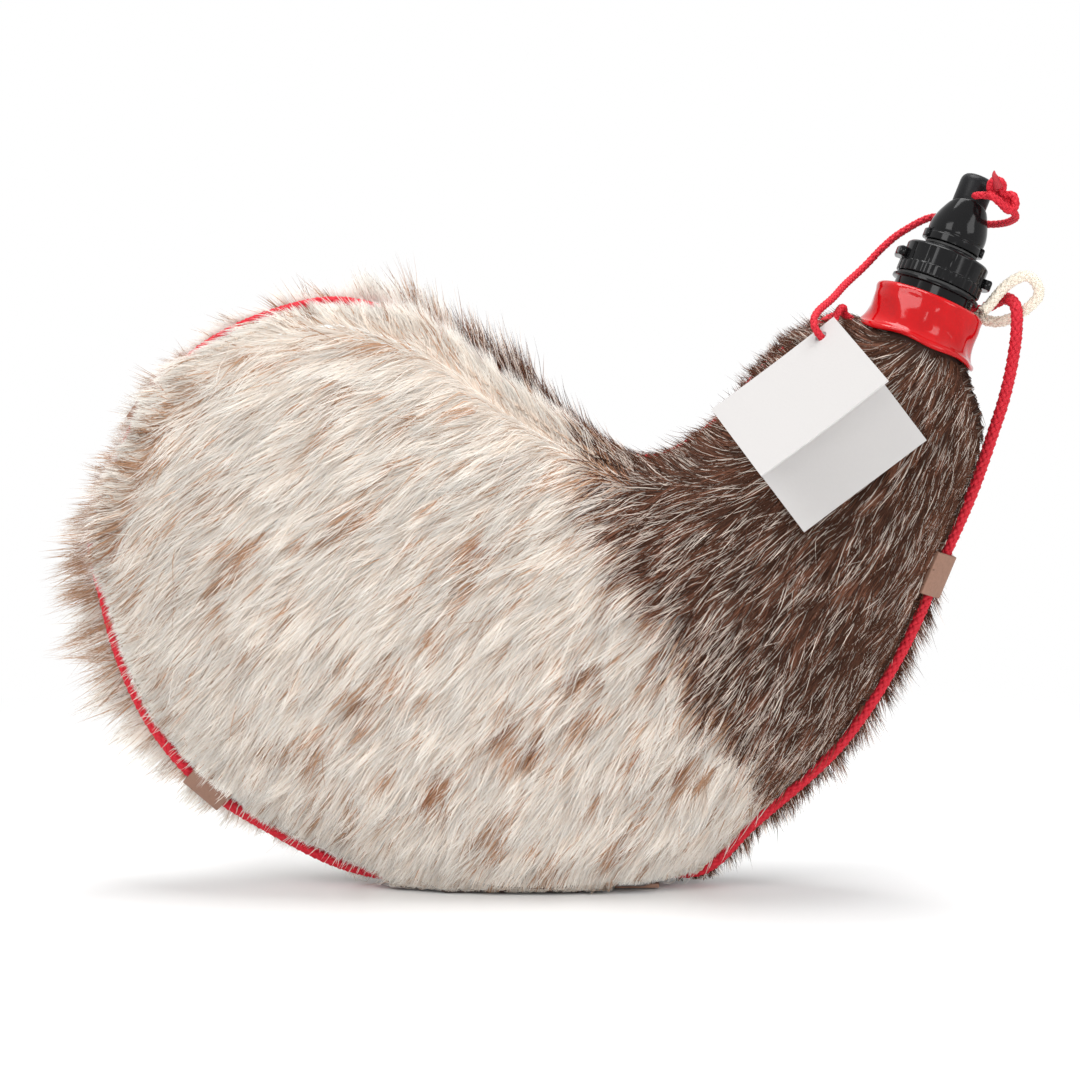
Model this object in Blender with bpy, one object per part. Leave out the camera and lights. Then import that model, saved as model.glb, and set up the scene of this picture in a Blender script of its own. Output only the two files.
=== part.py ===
"""Leather bota bag: two hair-on hide panels with a liner, a black screw spout, a stopper,
a carrying cord round the seam and a folded card tag. Metres, +Z up, front towards -Y."""
import math

import bmesh
import bpy
import numpy as np
from mathutils import Matrix, Vector
from mathutils.bvhtree import BVHTree
from mathutils.geometry import convex_hull_2d

# Fits
clearance = 0.0003
loose_clearance = 0.0005

# Bag
bag_length = 0.3014
bag_height = 0.1945
bag_half_thickness = 0.031
hide_wall = 0.0018
liner_wall = 0.001
seam_gap = 0.0021
welt_depth = 0.0018
station_steps = 2
foot_rib = 6
around_shares = (0.0, 0.0167, 0.0361, 0.0611, 0.0944, 0.1444, 0.2111, 0.2889,
                 0.3889, 0.5, 0.6, 0.7, 0.8, 0.9, 1.0)

# Foot of the bag
foot_start_x = 0.0125
foot_end_x = 0.0220
tab_lift = 0.0021
groove_depth = 0.0059
groove_fall = 0.003
groove_half_width = 0.0085

# Concave side x and z, convex side x and z, half-thickness, as shares of the bag's sizes
rib_shares = (
    (0.281, 0.957, 0.496, 0.815, 0.742),
    (0.235, 0.872, 0.479, 0.715, 0.790),
    (0.192, 0.806, 0.448, 0.601, 0.823),
    (0.150, 0.765, 0.402, 0.436, 0.855),
    (0.114, 0.747, 0.334, 0.270, 0.887),
    (0.068, 0.765, 0.231, 0.121, 0.919),
    (0.017, 0.811, 0.116, -0.045, 0.952),
    (-0.047, 0.875, -0.002, -0.090, 0.984),
    (-0.109, 0.950, -0.117, -0.070, 1.000),
    (-0.171, 1.004, -0.219, 0.045, 1.000),
    (-0.240, 1.030, -0.316, 0.117, 0.952),
    (-0.316, 1.005, -0.387, 0.189, 0.855),
    (-0.387, 0.950, -0.447, 0.299, 0.694),
    (-0.447, 0.858, -0.482, 0.418, 0.484),
    (-0.486, 0.730, -0.499, 0.520, 0.258),
    (-0.511, 0.623, -0.511, 0.623, 0.000),
)

# Neck axis
neck_x = 0.1255
neck_z = 0.1876
neck_tilt = math.radians(22.3)
neck_lean = math.radians(8)
neck_radius = 0.0156
neck_top = 0.015
shoulder_radius = 0.0198
shoulder_height = 0.001
round_steps = 32
hole_steps = 16

# Collar
collar_height = 0.0176
collar_radius = 0.0193
collar_foot_radius = 0.022
collar_waist_height = 0.007
collar_lip_radius = 0.0143
collar_lip = 0.002
collar_wall = 0.0011
lashing_low = 0.005
lashing_high = 0.0135
lashing_bulge = 0.0014
lashing_turns = 3

# Spout base
bore_radius = 0.0102
tube_radius = 0.0120
tube_reach = 0.006
barrel_radius = 0.0140
barrel_low = 0.0179
barrel_high = 0.0210
rim_radius = 0.0156
rim_high = 0.0222
thread_radius = 0.0122
thread_high = 0.0320

# Filler ring
washer_inner = 0.0125
washer_outer = 0.0143
washer_high = 0.0232
ring_inner = 0.0126
ring_low = 0.0235
ring_radius = 0.0151
ring_lug_low = 0.0275
ring_lug_high = 0.0310
ring_lug_radius = 0.0176
ring_lug_width = 0.009
ring_upper_radius = 0.0147
ring_plate_low = 0.0323
ring_high = 0.0346
ring_chamfer = 0.0008
ring_hole_radius = 0.0073
boss_radius = 0.0101
boss_high = 0.0357
cap_pitch = 0.0032
cap_turns = 3

# Nozzle
nozzle_washer_outer = 0.0094
nozzle_washer_low = 0.0360
nozzle_washer_high = 0.0367
stem_radius = 0.0070
stem_low = 0.0308
flange_low = 0.0370
flange_radius = 0.0102
flange_high = 0.0398
nozzle_lug_radius = 0.0111
nozzle_lug_high = 0.0404
nozzle_lug_width = 0.007
dome_low_radius = 0.0100
dome_low = 0.0407
dome_belly_radius = 0.0102
dome_belly = 0.0428
dome_neck_radius = 0.0083
dome_neck = 0.0480
cup_rim_radius = 0.0073
cup_rim = 0.0503
cup_slant = 0.0034
channel_radius = 0.0052
channel_high = 0.0430
jet_low = 0.0455
jet_high = 0.0470
jet_radius = 0.0011
cup_radius = 0.00635

# Stopper
stopper_radius = 0.00605
stopper_low = 0.0473
stopper_shoulder = 0.0610
stopper_high = 0.0640
stopper_pin_radius = 0.0007
stopper_pin_low = 0.0453
stopper_hole_height = 0.0560
stopper_hole_radius = 0.0020

# Thin cord
tether_radius = 0.0014
knot_place = (0.0112, -0.0080, 0.0590)
knot_radius = 0.0048
# Right, back and up from the collar's foot, along the neck
tether_neck_route = (
    (0.0180, -0.0080, 0.0590),
    (0.0198, -0.0060, 0.0584),
    (0.0194, -0.0010, 0.0568),
    (0.0165, 0.0070, 0.0540),
    (0.0090, 0.0140, 0.0515),
    (0.0000, 0.0155, 0.0495),
    (-0.0085, 0.0125, 0.0468),
    (-0.0165, 0.0120, 0.0382),
    (-0.0258, 0.0054, 0.0190),
    (-0.0323, -0.0127, 0.0050),
)
tether_loop_route = (
    (0.0, 0.0076, 0.0560),
    (0.0, 0.0, 0.0560),
    (0.0, -0.0056, 0.0560),
    (0.0002, -0.0068, 0.0561),
    (0.0018, -0.0084, 0.0566),
    (0.0056, -0.0088, 0.0578),
)
# Along the fold, down the leaf and out from it, past the tag's hole
tether_tag_route = (
    (0.0440, -0.0004, 0.0052),
    (0.0440, 0.0040, 0.0036),
    (0.0440, 0.0050, 0.0000),
    (0.0448, 0.0044, -0.0036),
)
tether_end_route = (
    (-0.0280, -0.0095, 0.0025),
    (-0.0252, -0.0045, 0.0008),
    (-0.0226, -0.0039, 0.0006),
)

# Thick cord
carry_radius = 0.0023
carry_stand_off = 0.0029
carry_first_row = 5
carry_last_row = 7
carry_start_route = (
    (-0.0227, 0.0030, 0.0012),
    (-0.0262, 0.0032, 0.0008),
)
# Metres, from the seam's last held point up through the cream loop
carry_end_route = (
    (0.1590, -0.0005, 0.1765),
    (0.1608, -0.0022, 0.1890),
    (0.1612, -0.0024, 0.1985),
    (0.1606, 0.0026, 0.2038),
    (0.1580, 0.0090, 0.2040),
    (0.1545, 0.0135, 0.2020),
)
carry_knot_place = (0.0175, 0.0135, 0.0210)
carry_knot_radius = 0.0050

# Cream loop
loop_radius = 0.0021
loop_route = (
    (0.1568, 0.0030, 0.2076),
    (0.1654, 0.0030, 0.2121),
    (0.1696, 0.0030, 0.2079),
    (0.1616, 0.0040, 0.1983),
    (0.1536, 0.0060, 0.1962),
)
# Right, back and up from the collar's foot, along the neck
loop_first_place = (0.0172, -0.0045, 0.0200)
loop_second_place = (0.0195, -0.0022, 0.0245)
loop_last_place = (0.0172, 0.0065, 0.0200)

# Tabs
tab_length = 0.0155
tab_reach = 0.0085
tab_wall = 0.0015
tab_shares = (0.332, 0.503, 0.685, 0.866)

# Tag
tag_size = 0.0515
tag_wall = 0.0006
tag_fold_gap = 0.0004
tag_hole_along = 0.0440
tag_hole_in = 0.0050
tag_hole_radius = 0.0022
tag_corner_x = 0.0557
tag_corner_y = -0.0262
tag_corner_z = 0.1678
tag_turn = math.radians(37.2)
tag_tilt = math.radians(6)
tag_open = math.radians(56)


def clear_scene():
    for thing in list(bpy.data.objects):
        bpy.data.objects.remove(thing, do_unlink=True)


def material(name, colour, roughness, metallic=0.0):
    made = bpy.data.materials.new(name)
    made.use_nodes = True
    shader = made.node_tree.nodes["Principled BSDF"]
    shader.inputs["Base Color"].default_value = (*colour, 1.0)
    shader.inputs["Roughness"].default_value = roughness
    shader.inputs["Metallic"].default_value = metallic
    return made


def add_mesh(name, vertices, faces, look, smooth=True):
    mesh = bpy.data.meshes.new(name)
    mesh.from_pydata([tuple(v) for v in vertices], [], faces)
    build = bmesh.new()
    build.from_mesh(mesh)
    bmesh.ops.recalc_face_normals(build, faces=build.faces[:])
    build.to_mesh(mesh)
    build.free()
    mesh.materials.append(look)
    for face in mesh.polygons:
        face.use_smooth = smooth
    thing = bpy.data.objects.new(name, mesh)
    bpy.context.scene.collection.objects.link(thing)
    return thing


def set_origin(thing, point):
    thing.data.transform(Matrix.Translation(-Vector(point)))
    thing.location = point


# Neck frame
tilt_sin, tilt_cos = math.sin(neck_tilt), math.cos(neck_tilt)
lean_sin, lean_cos = math.sin(neck_lean), math.cos(neck_lean)
neck_base = np.array((neck_x, 0.0, neck_z))
neck_right = np.array((tilt_cos, 0.0, -tilt_sin))
neck_up = np.array((tilt_sin * lean_cos, lean_sin, tilt_cos * lean_cos))
neck_back = np.cross(neck_up, neck_right)


def on_neck(right, back, up):
    return neck_base + neck_right * right + neck_back * back + neck_up * up


def smooth_rows(rows, steps, placed=6):
    """Points between hand-set rows, on a smooth curve that passes through each row."""
    rows = np.asarray(rows, dtype=float)
    moved = np.diff(rows[:, :placed], axis=0)
    gaps = np.maximum(np.linalg.norm(moved, axis=1), bag_length / 10000)
    at = np.concatenate(([0.0], np.cumsum(gaps)))
    slopes = np.empty_like(rows)
    chords = np.diff(rows, axis=0) / gaps[:, None]
    slopes[0], slopes[-1] = chords[0], chords[-1]
    before, after = gaps[:-1, None], gaps[1:, None]
    slopes[1:-1] = (chords[:-1] * after + chords[1:] * before) / (before + after)
    made = []
    for i, gap in enumerate(gaps):
        for k in range(steps[i]):
            t = k / steps[i]
            made.append(rows[i] * (2 * t**3 - 3 * t**2 + 1) + rows[i + 1] * (3 * t**2 - 2 * t**3)
                        + slopes[i] * gap * (t**3 - 2 * t**2 + t)
                        + slopes[i + 1] * gap * (t**3 - t**2))
    made.append(rows[-1])
    return np.array(made), at


# Bag surface
def rib_rows():
    """Each row: concave side point, convex side point, depth direction, half-thickness."""
    half_gap = seam_gap / 2
    rows = []
    for up, radius in ((neck_top, neck_radius), (2 * neck_top / 3, neck_radius),
                       (neck_top / 4, neck_radius), (-shoulder_height, shoulder_radius)):
        rows.append((*on_neck(-radius, 0.0, up), *on_neck(radius, 0.0, up), *neck_back,
                     radius - half_gap))
    for ax, az, bx, bz, depth in rib_shares:
        rows.append((ax * bag_length, 0.0, az * bag_height, bx * bag_length, 0.0, bz * bag_height,
                     0.0, 1.0, 0.0, depth * (bag_half_thickness - half_gap)))
    return rows


tiny = 1e-18


def smoothstep(value, low, high):
    t = np.clip((value - low) / (high - low), 0.0, 1.0)
    return t * t * (3 - 2 * t)


def foot_height(x, y):
    fall = np.exp(-np.maximum(np.abs(y) - seam_gap / 2, 0.0) / groove_fall)
    end = math.exp(-(groove_half_width - seam_gap / 2) / groove_fall)
    groove = groove_depth * np.clip((fall - end) / (1 - end), 0.0, 1.0)
    return tab_lift * smoothstep(x, foot_start_x, foot_end_x) + groove


def panel_grid(side):
    """Outer surface of one panel, stations along and points from convex to concave rim."""
    grid = []
    for row in stations:
        low, high, depth, half = row[0:3], row[3:6], row[6:9], row[9]
        depth = depth / np.linalg.norm(depth)
        centre, width = (low + high) / 2, (high - low) / 2
        line = []
        for step in around:
            away = seam_gap / 2 + half * math.sin(step)
            line.append(centre + width * math.cos(step) + depth * side * away)
        grid.append(line)
    grid = np.array(grid)
    grid[:, :, 2] = np.maximum(grid[:, :, 2], foot_height(grid[:, :, 0], grid[:, :, 1]))
    return grid


def grid_normals(grid, side):
    """Outward unit normals; rims stay square to the seam and the tail points along the bag."""
    along = np.gradient(grid, axis=0)
    across = np.gradient(grid, axis=1)
    normals = np.cross(along, across)
    lengths = np.linalg.norm(normals, axis=2, keepdims=True)
    normals = normals / np.maximum(lengths, tiny)
    depths = stations[:, 6:9] / np.linalg.norm(stations[:, 6:9], axis=1, keepdims=True)
    middle = grid.shape[1] // 2
    if float(np.dot(normals[2, middle], depths[2] * side)) < 0:
        normals = -normals
    for column in (0, -1):
        spread = np.sum(normals[:, column] * depths, axis=1, keepdims=True)
        rim = normals[:, column] - depths * spread
        spread = np.maximum(np.linalg.norm(rim, axis=1, keepdims=True), tiny)
        normals[:, column] = rim / spread
    tail = grid[-1, middle] - (grid[-2, 0] + grid[-2, -1]) / 2
    tail[1] = 0.0
    normals[-1, :] = tail / np.linalg.norm(tail)
    return normals


def grid_faces(rows, columns, offset, flip):
    faces = []
    for i in range(rows - 1):
        for j in range(columns - 1):
            a, b = offset + i * columns + j, offset + i * columns + j + 1
            c, d = b + columns, a + columns
            faces += [(a, c, b), (a, d, c)] if flip else [(a, b, c), (a, c, d)]
    return faces


def shell_between(name, outer, inner, look):
    """Closed shell of two grids with the same rows, joined at every open edge."""
    rows, columns = outer.shape[0], outer.shape[1]
    count = rows * columns
    vertices = list(outer.reshape(-1, 3)) + list(inner.reshape(-1, 3))
    faces = grid_faces(rows, columns, 0, False) + grid_faces(rows, columns, count, True)
    for i in range(rows - 1):
        for j in (0, columns - 1):
            a, b = i * columns + j, (i + 1) * columns + j
            faces.append((a, b, b + count, a + count))
    for j in range(columns - 1):
        faces.append((j, j + 1, j + 1 + count, j + count))
    return weld(add_mesh(name, vertices, faces, look))


def weld(thing):
    build = bmesh.new()
    build.from_mesh(thing.data)
    bmesh.ops.remove_doubles(build, verts=build.verts[:], dist=clearance / 30)
    bmesh.ops.recalc_face_normals(build, faces=build.faces[:])
    build.to_mesh(thing.data)
    build.free()
    return thing


clear_scene()
hide_front_look = material("hair_on_hide_front", (0.74, 0.67, 0.58), 0.9)
hide_back_look = material("hair_on_hide_back", (0.70, 0.62, 0.52), 0.9)
welt_look = material("cotton_welt", (0.80, 0.74, 0.62), 0.9)
liner_look = material("liner_film", (0.62, 0.60, 0.52), 0.45)
lashing_look = material("lashing_twine", (0.78, 0.72, 0.58), 0.9)
collar_look = material("red_collar", (0.50, 0.03, 0.04), 0.25)
spout_look = material("black_spout", (0.012, 0.012, 0.013), 0.15)
cap_washer_look = material("cap_seal", (0.75, 0.74, 0.70), 0.6)
ring_look = material("black_ring", (0.014, 0.014, 0.015), 0.15)
nozzle_washer_look = material("nozzle_seal", (0.74, 0.72, 0.68), 0.6)
nozzle_look = material("black_nozzle", (0.013, 0.013, 0.014), 0.12)
stopper_look = material("black_stopper", (0.016, 0.016, 0.017), 0.35)
knot_look = material("red_knot", (0.55, 0.03, 0.05), 0.8)
tether_loop_look = material("red_loop", (0.56, 0.03, 0.05), 0.8)
tether_look = material("red_thin_cord", (0.57, 0.03, 0.05), 0.8)
carry_look = material("red_thick_cord", (0.55, 0.03, 0.05), 0.8)
carry_knot_look = material("red_end_knot", (0.54, 0.03, 0.05), 0.8)
cream_look = material("cream_cotton", (0.85, 0.80, 0.68), 0.9)
tab_look = material("tab_leather", (0.55, 0.36, 0.22), 0.7)
tag_back_look = material("card_back", (0.86, 0.84, 0.78), 0.6)
tag_front_look = material("card_front", (0.88, 0.86, 0.80), 0.6)

ribs = rib_rows()
spans = [1, 1, 1, station_steps + 1] + [station_steps] * (len(rib_shares) - 1)
spans[4 + foot_rib] += 1
stations, _ = smooth_rows(ribs, spans)
around = [math.pi * share for share in around_shares]
front_outer, back_outer = panel_grid(-1), panel_grid(1)
front_normals, back_normals = grid_normals(front_outer, -1), grid_normals(back_outer, 1)

shell_between("hide_front", front_outer, front_outer - front_normals * hide_wall, hide_front_look)
shell_between("hide_back", back_outer, back_outer - back_normals * hide_wall, hide_back_look)


# Liner
def liner():
    rows, columns = front_outer.shape[0], front_outer.shape[1]
    count = rows * columns
    vertices, faces = [], []
    for layer, inset in enumerate((hide_wall + clearance, hide_wall + clearance + liner_wall)):
        vertices += list((front_outer - front_normals * inset).reshape(-1, 3))
        vertices += list((back_outer - back_normals * inset).reshape(-1, 3))
        front, back = 2 * count * layer, 2 * count * layer + count
        faces += grid_faces(rows, columns, front, False) + grid_faces(rows, columns, back, False)
        for i in range(rows - 1):
            for j in (0, columns - 1):
                a, b = i * columns + j, (i + 1) * columns + j
                faces.append((front + a, front + b, back + b, back + a))
    inner = 2 * count
    for start in (0, count):
        for j in range(start, start + columns - 1):
            faces.append((j, j + 1, j + 1 + inner, j + inner))
    for j in (0, columns - 1):
        faces.append((j, j + count, j + count + inner, j + inner))
    return weld(add_mesh("bladder", vertices, faces, liner_look))


liner()


# Welt between the rims
def rim_line(column):
    """Seam centre line on one rim, with its outward and depth directions."""
    points = (front_outer[:, column] + back_outer[:, column]) / 2
    outward = front_normals[:, column] + back_normals[:, column]
    outward = outward / np.linalg.norm(outward, axis=1, keepdims=True)
    depths = back_outer[:, column] - front_outer[:, column]
    depths = depths / np.linalg.norm(depths, axis=1, keepdims=True)
    return points, outward, depths


convex_line, convex_out, convex_depth = rim_line(0)
concave_line, concave_out, concave_depth = rim_line(-1)
seam_line = np.concatenate((concave_line, convex_line[-2::-1]))
seam_out = np.concatenate((concave_out, convex_out[-2::-1]))
seam_depth = np.concatenate((concave_depth, convex_depth[-2::-1]))


def welt():
    half = seam_gap / 2 - clearance
    vertices, faces = [], []
    for point, out, depth in zip(seam_line, seam_out, seam_depth):
        for inward, side in ((0.0, -half), (0.0, half), (welt_depth, half), (welt_depth, -half)):
            vertices.append(point - out * inward + depth * side)
    for i in range(len(seam_line) - 1):
        for j in range(4):
            nxt = (j + 1) % 4
            faces.append((4 * i + j, 4 * i + nxt, 4 * i + 4 + nxt, 4 * i + 4 + j))
    last = 4 * (len(seam_line) - 1)
    faces += [(0, 1, 2, 3), (last, last + 1, last + 2, last + 3)]
    add_mesh("seam_welt", vertices, faces, welt_look)


welt()


# Round pieces on the neck axis
def lathe(name, profile, look, steps=round_steps, bend=None):
    """Closed ring or solid turned about the neck axis from a closed (radius, up) profile."""
    vertices, faces, rings = [], [], []
    for radius, up in profile:
        if radius <= 0.0:
            rings.append([len(vertices)] * steps)
            vertices.append(on_neck(0.0, 0.0, up))
            continue
        ring = []
        for k in range(steps):
            turn = 2 * math.pi * k / steps
            x, y, z = radius * math.cos(turn), radius * math.sin(turn), up
            if bend:
                x, y, z = bend(x, y, z)
            ring.append(len(vertices))
            vertices.append(on_neck(x, y, z))
        rings.append(ring)
    for i, ring in enumerate(rings):
        other = rings[(i + 1) % len(rings)]
        for k in range(steps):
            nxt = (k + 1) % steps
            corners = []
            for corner in (ring[k], ring[nxt], other[nxt], other[k]):
                if corner not in corners:
                    corners.append(corner)
            if len(corners) > 2:
                faces.append(tuple(corners))
    thing = add_mesh(name, vertices, faces, look)
    set_origin(thing, neck_base)
    return thing


def lashing():
    low = neck_radius + seam_gap / 4 + clearance / 2
    profile = [(low, lashing_high), (low, lashing_low)]
    height = lashing_high - lashing_low
    for k in range(lashing_turns):
        start = lashing_low + height * k / lashing_turns
        for share, bulge in ((0.12, 0.55), (0.5, 1.0), (0.88, 0.55)):
            profile.append((low + lashing_bulge * bulge, start + height * share / lashing_turns))
    lathe("neck_lashing", profile, lashing_look)


lashing()

collar_profile = (
    (collar_foot_radius, 0.0),
    (collar_foot_radius, collar_wall),
    (collar_radius + collar_wall / 2, collar_waist_height / 2),
    (collar_radius, collar_waist_height),
    (collar_radius, collar_height - collar_lip),
    (collar_radius - collar_lip / 3, collar_height - collar_lip / 3),
    (collar_radius - collar_lip, collar_height),
    (collar_lip_radius, collar_height),
    (collar_lip_radius, collar_height - collar_lip),
    (collar_radius - collar_wall, collar_height - collar_lip),
    (collar_radius - collar_wall, collar_waist_height),
    (collar_radius - collar_wall / 2, collar_waist_height / 2),
    (collar_foot_radius - collar_wall, collar_wall),
    (collar_foot_radius - collar_wall, 0.0),
)
lathe("neck_collar", collar_profile, collar_look)

spout_profile = (
    (bore_radius, -tube_reach),
    (tube_radius, -tube_reach),
    (tube_radius, barrel_low),
    (barrel_radius, barrel_low),
    (barrel_radius, barrel_high),
    (rim_radius, barrel_high + clearance),
    (rim_radius, rim_high),
    (thread_radius, rim_high),
    (thread_radius, thread_high),
    (bore_radius, thread_high),
)
lathe("spout_base", spout_profile, spout_look)

washer_profile = (
    (washer_inner, rim_high + clearance / 2),
    (washer_outer, rim_high + clearance / 2),
    (washer_outer, washer_high),
    (washer_inner, washer_high),
)
lathe("cap_washer", washer_profile, cap_washer_look)


def boolean(thing, tool, operation):
    """Join or cut with a tool that stays hidden in the file."""
    step = thing.modifiers.new(tool.name, "BOOLEAN")
    step.operation, step.solver, step.object = operation, "EXACT", tool
    tool.hide_render, tool.display_type = True, "WIRE"


def add_tool(name, build):
    mesh = bpy.data.meshes.new(name)
    bmesh.ops.recalc_face_normals(build, faces=build.faces[:])
    build.to_mesh(mesh)
    build.free()
    tool = bpy.data.objects.new(name, mesh)
    bpy.context.scene.collection.objects.link(tool)
    return tool


def add_lugs(thing, inner, outer, width, low, high):
    """Two grip lugs, one on each side, joined to a round piece."""
    for side, label in ((-1, "left"), (1, "right")):
        build = bmesh.new()
        bmesh.ops.create_cube(build, size=1.0)
        for vertex in build.verts:
            local = vertex.co.copy()
            reach = side * ((inner + outer) / 2 + local.x * (outer - inner))
            up = (low + high) / 2 + local.z * (high - low)
            vertex.co = Vector(on_neck(reach, local.y * width, up))
        boolean(thing, add_tool(thing.name + "_lug_" + label, build), "UNION")


def drill(thing, start, end, radius, segments):
    """Round through hole from one point to another."""
    start, end = Vector(start), Vector(end)
    build = bmesh.new()
    turn = (end - start).to_track_quat("Z", "Y").to_matrix().to_4x4()
    place = Matrix.Translation((start + end) / 2) @ turn
    bmesh.ops.create_cone(build, cap_ends=True, segments=segments, radius1=radius,
                          radius2=radius, depth=(end - start).length, matrix=place)
    boolean(thing, add_tool(thing.name + "_drill", build), "DIFFERENCE")


ring_profile = (
    (ring_inner, ring_low),
    (ring_radius, ring_low),
    (ring_radius, ring_lug_low),
    (ring_upper_radius, ring_lug_low + clearance),
    (ring_upper_radius, ring_high - ring_chamfer),
    (ring_upper_radius - ring_chamfer, ring_high),
    (boss_radius, ring_high),
    (boss_radius, boss_high),
    (ring_hole_radius, boss_high),
    (ring_hole_radius, ring_plate_low),
    (ring_inner, ring_plate_low),
)
filler_ring = lathe("filler_ring", ring_profile, ring_look)
ring_lug_root = (ring_inner + ring_upper_radius) / 2
add_lugs(filler_ring, ring_lug_root, ring_lug_radius, ring_lug_width,
         ring_lug_low + clearance, ring_lug_high)

nozzle_washer_profile = (
    (ring_hole_radius, nozzle_washer_low),
    (nozzle_washer_outer, nozzle_washer_low),
    (nozzle_washer_outer, nozzle_washer_high),
    (ring_hole_radius, nozzle_washer_high),
)
lathe("nozzle_washer", nozzle_washer_profile, nozzle_washer_look)


def slanted_rim(x, y, z):
    share = max(z - dome_neck, 0.0) / (cup_rim - dome_neck)
    return x, y, z - cup_slant * share * y / cup_rim_radius


nozzle_profile = (
    (channel_radius, stem_low),
    (stem_radius, stem_low),
    (stem_radius, flange_low),
    (flange_radius, flange_low),
    (flange_radius, flange_high),
    (dome_low_radius, dome_low),
    (dome_belly_radius, dome_belly),
    ((dome_belly_radius + dome_neck_radius) / 2 + collar_wall / 4, (dome_belly + dome_neck) / 2),
    (dome_neck_radius, dome_neck),
    (cup_rim_radius, cup_rim),
    (cup_radius, cup_rim),
    (cup_radius, dome_neck),
    (cup_radius, jet_high),
    (jet_radius, jet_high),
    (jet_radius, jet_low),
    (channel_radius, channel_high),
)
nozzle = lathe("nozzle", nozzle_profile, nozzle_look, bend=slanted_rim)


nozzle_lug_root = (stem_radius + flange_radius) / 2
add_lugs(nozzle, nozzle_lug_root, nozzle_lug_radius, nozzle_lug_width,
         flange_low + clearance, nozzle_lug_high)

shoulder_drop = stopper_high - stopper_shoulder
stopper_profile = (
    (0.0, stopper_pin_low),
    (stopper_pin_radius, stopper_pin_low),
    (stopper_pin_radius, stopper_low),
    (stopper_radius, stopper_low),
    (stopper_radius, stopper_shoulder),
    (stopper_radius * 0.94, stopper_shoulder + shoulder_drop * 0.38),
    (stopper_radius * 0.78, stopper_shoulder + shoulder_drop * 0.70),
    (stopper_radius * 0.48, stopper_shoulder + shoulder_drop * 0.93),
    (0.0, stopper_high),
)
stopper = lathe("stopper", stopper_profile, stopper_look)


drill(stopper, on_neck(0.0, -2 * stopper_radius, stopper_hole_height),
      on_neck(0.0, 2 * stopper_radius, stopper_hole_height), stopper_hole_radius, hole_steps)


# Cords
def tube(name, points, radius, look, cyclic=False, detail=2):
    curve = bpy.data.curves.new(name, "CURVE")
    curve.dimensions = "3D"
    curve.bevel_depth = radius
    curve.bevel_resolution = detail
    curve.use_fill_caps = not cyclic
    curve.resolution_u = 1
    spline = curve.splines.new("POLY")
    spline.points.add(len(points) - 1)
    for point, place in zip(spline.points, points):
        point.co = (*place, 1.0)
    spline.use_cyclic_u = cyclic
    curve.materials.append(look)
    thing = bpy.data.objects.new(name, curve)
    bpy.context.scene.collection.objects.link(thing)
    return thing


def even_points(route, spacing):
    """Evenly spaced points on a smooth curve through the route."""
    fine, _ = smooth_rows(route, [12] * (len(route) - 1))
    lengths = np.concatenate(([0.0], np.cumsum(np.linalg.norm(np.diff(fine, axis=0), axis=1))))
    count = max(int(round(lengths[-1] / spacing)), 2)
    at = np.linspace(0.0, lengths[-1], count + 1)
    return np.stack([np.interp(at, lengths, fine[:, k]) for k in range(3)], axis=1)


def knot(name, place, radius, look):
    """Tight knot as a plain rounded body on the neck's frame."""
    mesh = bpy.data.meshes.new(name)
    build = bmesh.new()
    bmesh.ops.create_icosphere(build, subdivisions=2, radius=radius)
    build.to_mesh(mesh)
    build.free()
    mesh.materials.append(look)
    for face in mesh.polygons:
        face.use_smooth = True
    thing = bpy.data.objects.new(name, mesh)
    thing.location = on_neck(*place)
    bpy.context.scene.collection.objects.link(thing)
    return thing


knot("tether_knot", knot_place, knot_radius, knot_look)

tether_loop_line = [on_neck(*place) for place in tether_loop_route]
tube("tether_loop", even_points(tether_loop_line, tether_radius), tether_radius, tether_loop_look)

tag_along = np.array((math.cos(tag_turn), 0.0, math.sin(tag_turn)))
tag_down_flat = np.array((math.sin(tag_turn), 0.0, -math.cos(tag_turn)))
tag_down = tag_down_flat * math.cos(tag_tilt) + np.array((0.0, -math.sin(tag_tilt), 0.0))
tag_face = np.cross(tag_along, tag_down)
tag_corner = np.array((tag_corner_x, tag_corner_y, tag_corner_z))
if tag_face[1] > 0:
    tag_face = -tag_face


def on_tag(along, down, out):
    return tag_corner + tag_along * along + tag_down * down + tag_face * out


tether_start = on_neck(knot_place[0] + knot_radius + clearance, knot_place[1], knot_place[2])
tether_route = [tether_start]
tether_route += [on_neck(*place) for place in tether_neck_route]
tether_route += [on_tag(*place) for place in tether_tag_route]
tether_route += [on_neck(*place) for place in tether_end_route]
tube("tether_cord", even_points(tether_route, 2 * tether_radius), tether_radius, tether_look)


# Thick cord on the seam
lifted = seam_line + seam_out * carry_stand_off
on_seam = lifted[carry_first_row:len(seam_line) - carry_last_row]
carry_knot_centre = on_neck(*carry_knot_place)
last_place = np.array(carry_end_route[-1])
toward = last_place - carry_knot_centre
toward = toward / np.linalg.norm(toward)
carry_tail_end = carry_knot_centre + toward * (carry_knot_radius + clearance)
carry_tail_route = [on_seam[-1], *[np.array(p) for p in carry_end_route], carry_tail_end]
carry_tail = even_points(carry_tail_route, 2 * carry_radius)[1:]
carry_start = [on_neck(*place) for place in carry_start_route]
carry_points = np.concatenate((np.array(carry_start), on_seam, carry_tail))
tube("carry_cord", carry_points, carry_radius, carry_look)
knot("carry_knot", carry_knot_place, carry_knot_radius, carry_knot_look)

loop_line = [on_neck(*loop_first_place), on_neck(*loop_second_place)]
loop_line += [np.array(place) for place in loop_route]
loop_line.append(on_neck(*loop_last_place))
tube("neck_loop", even_points(loop_line, 2 * loop_radius), loop_radius, cream_look)


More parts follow.
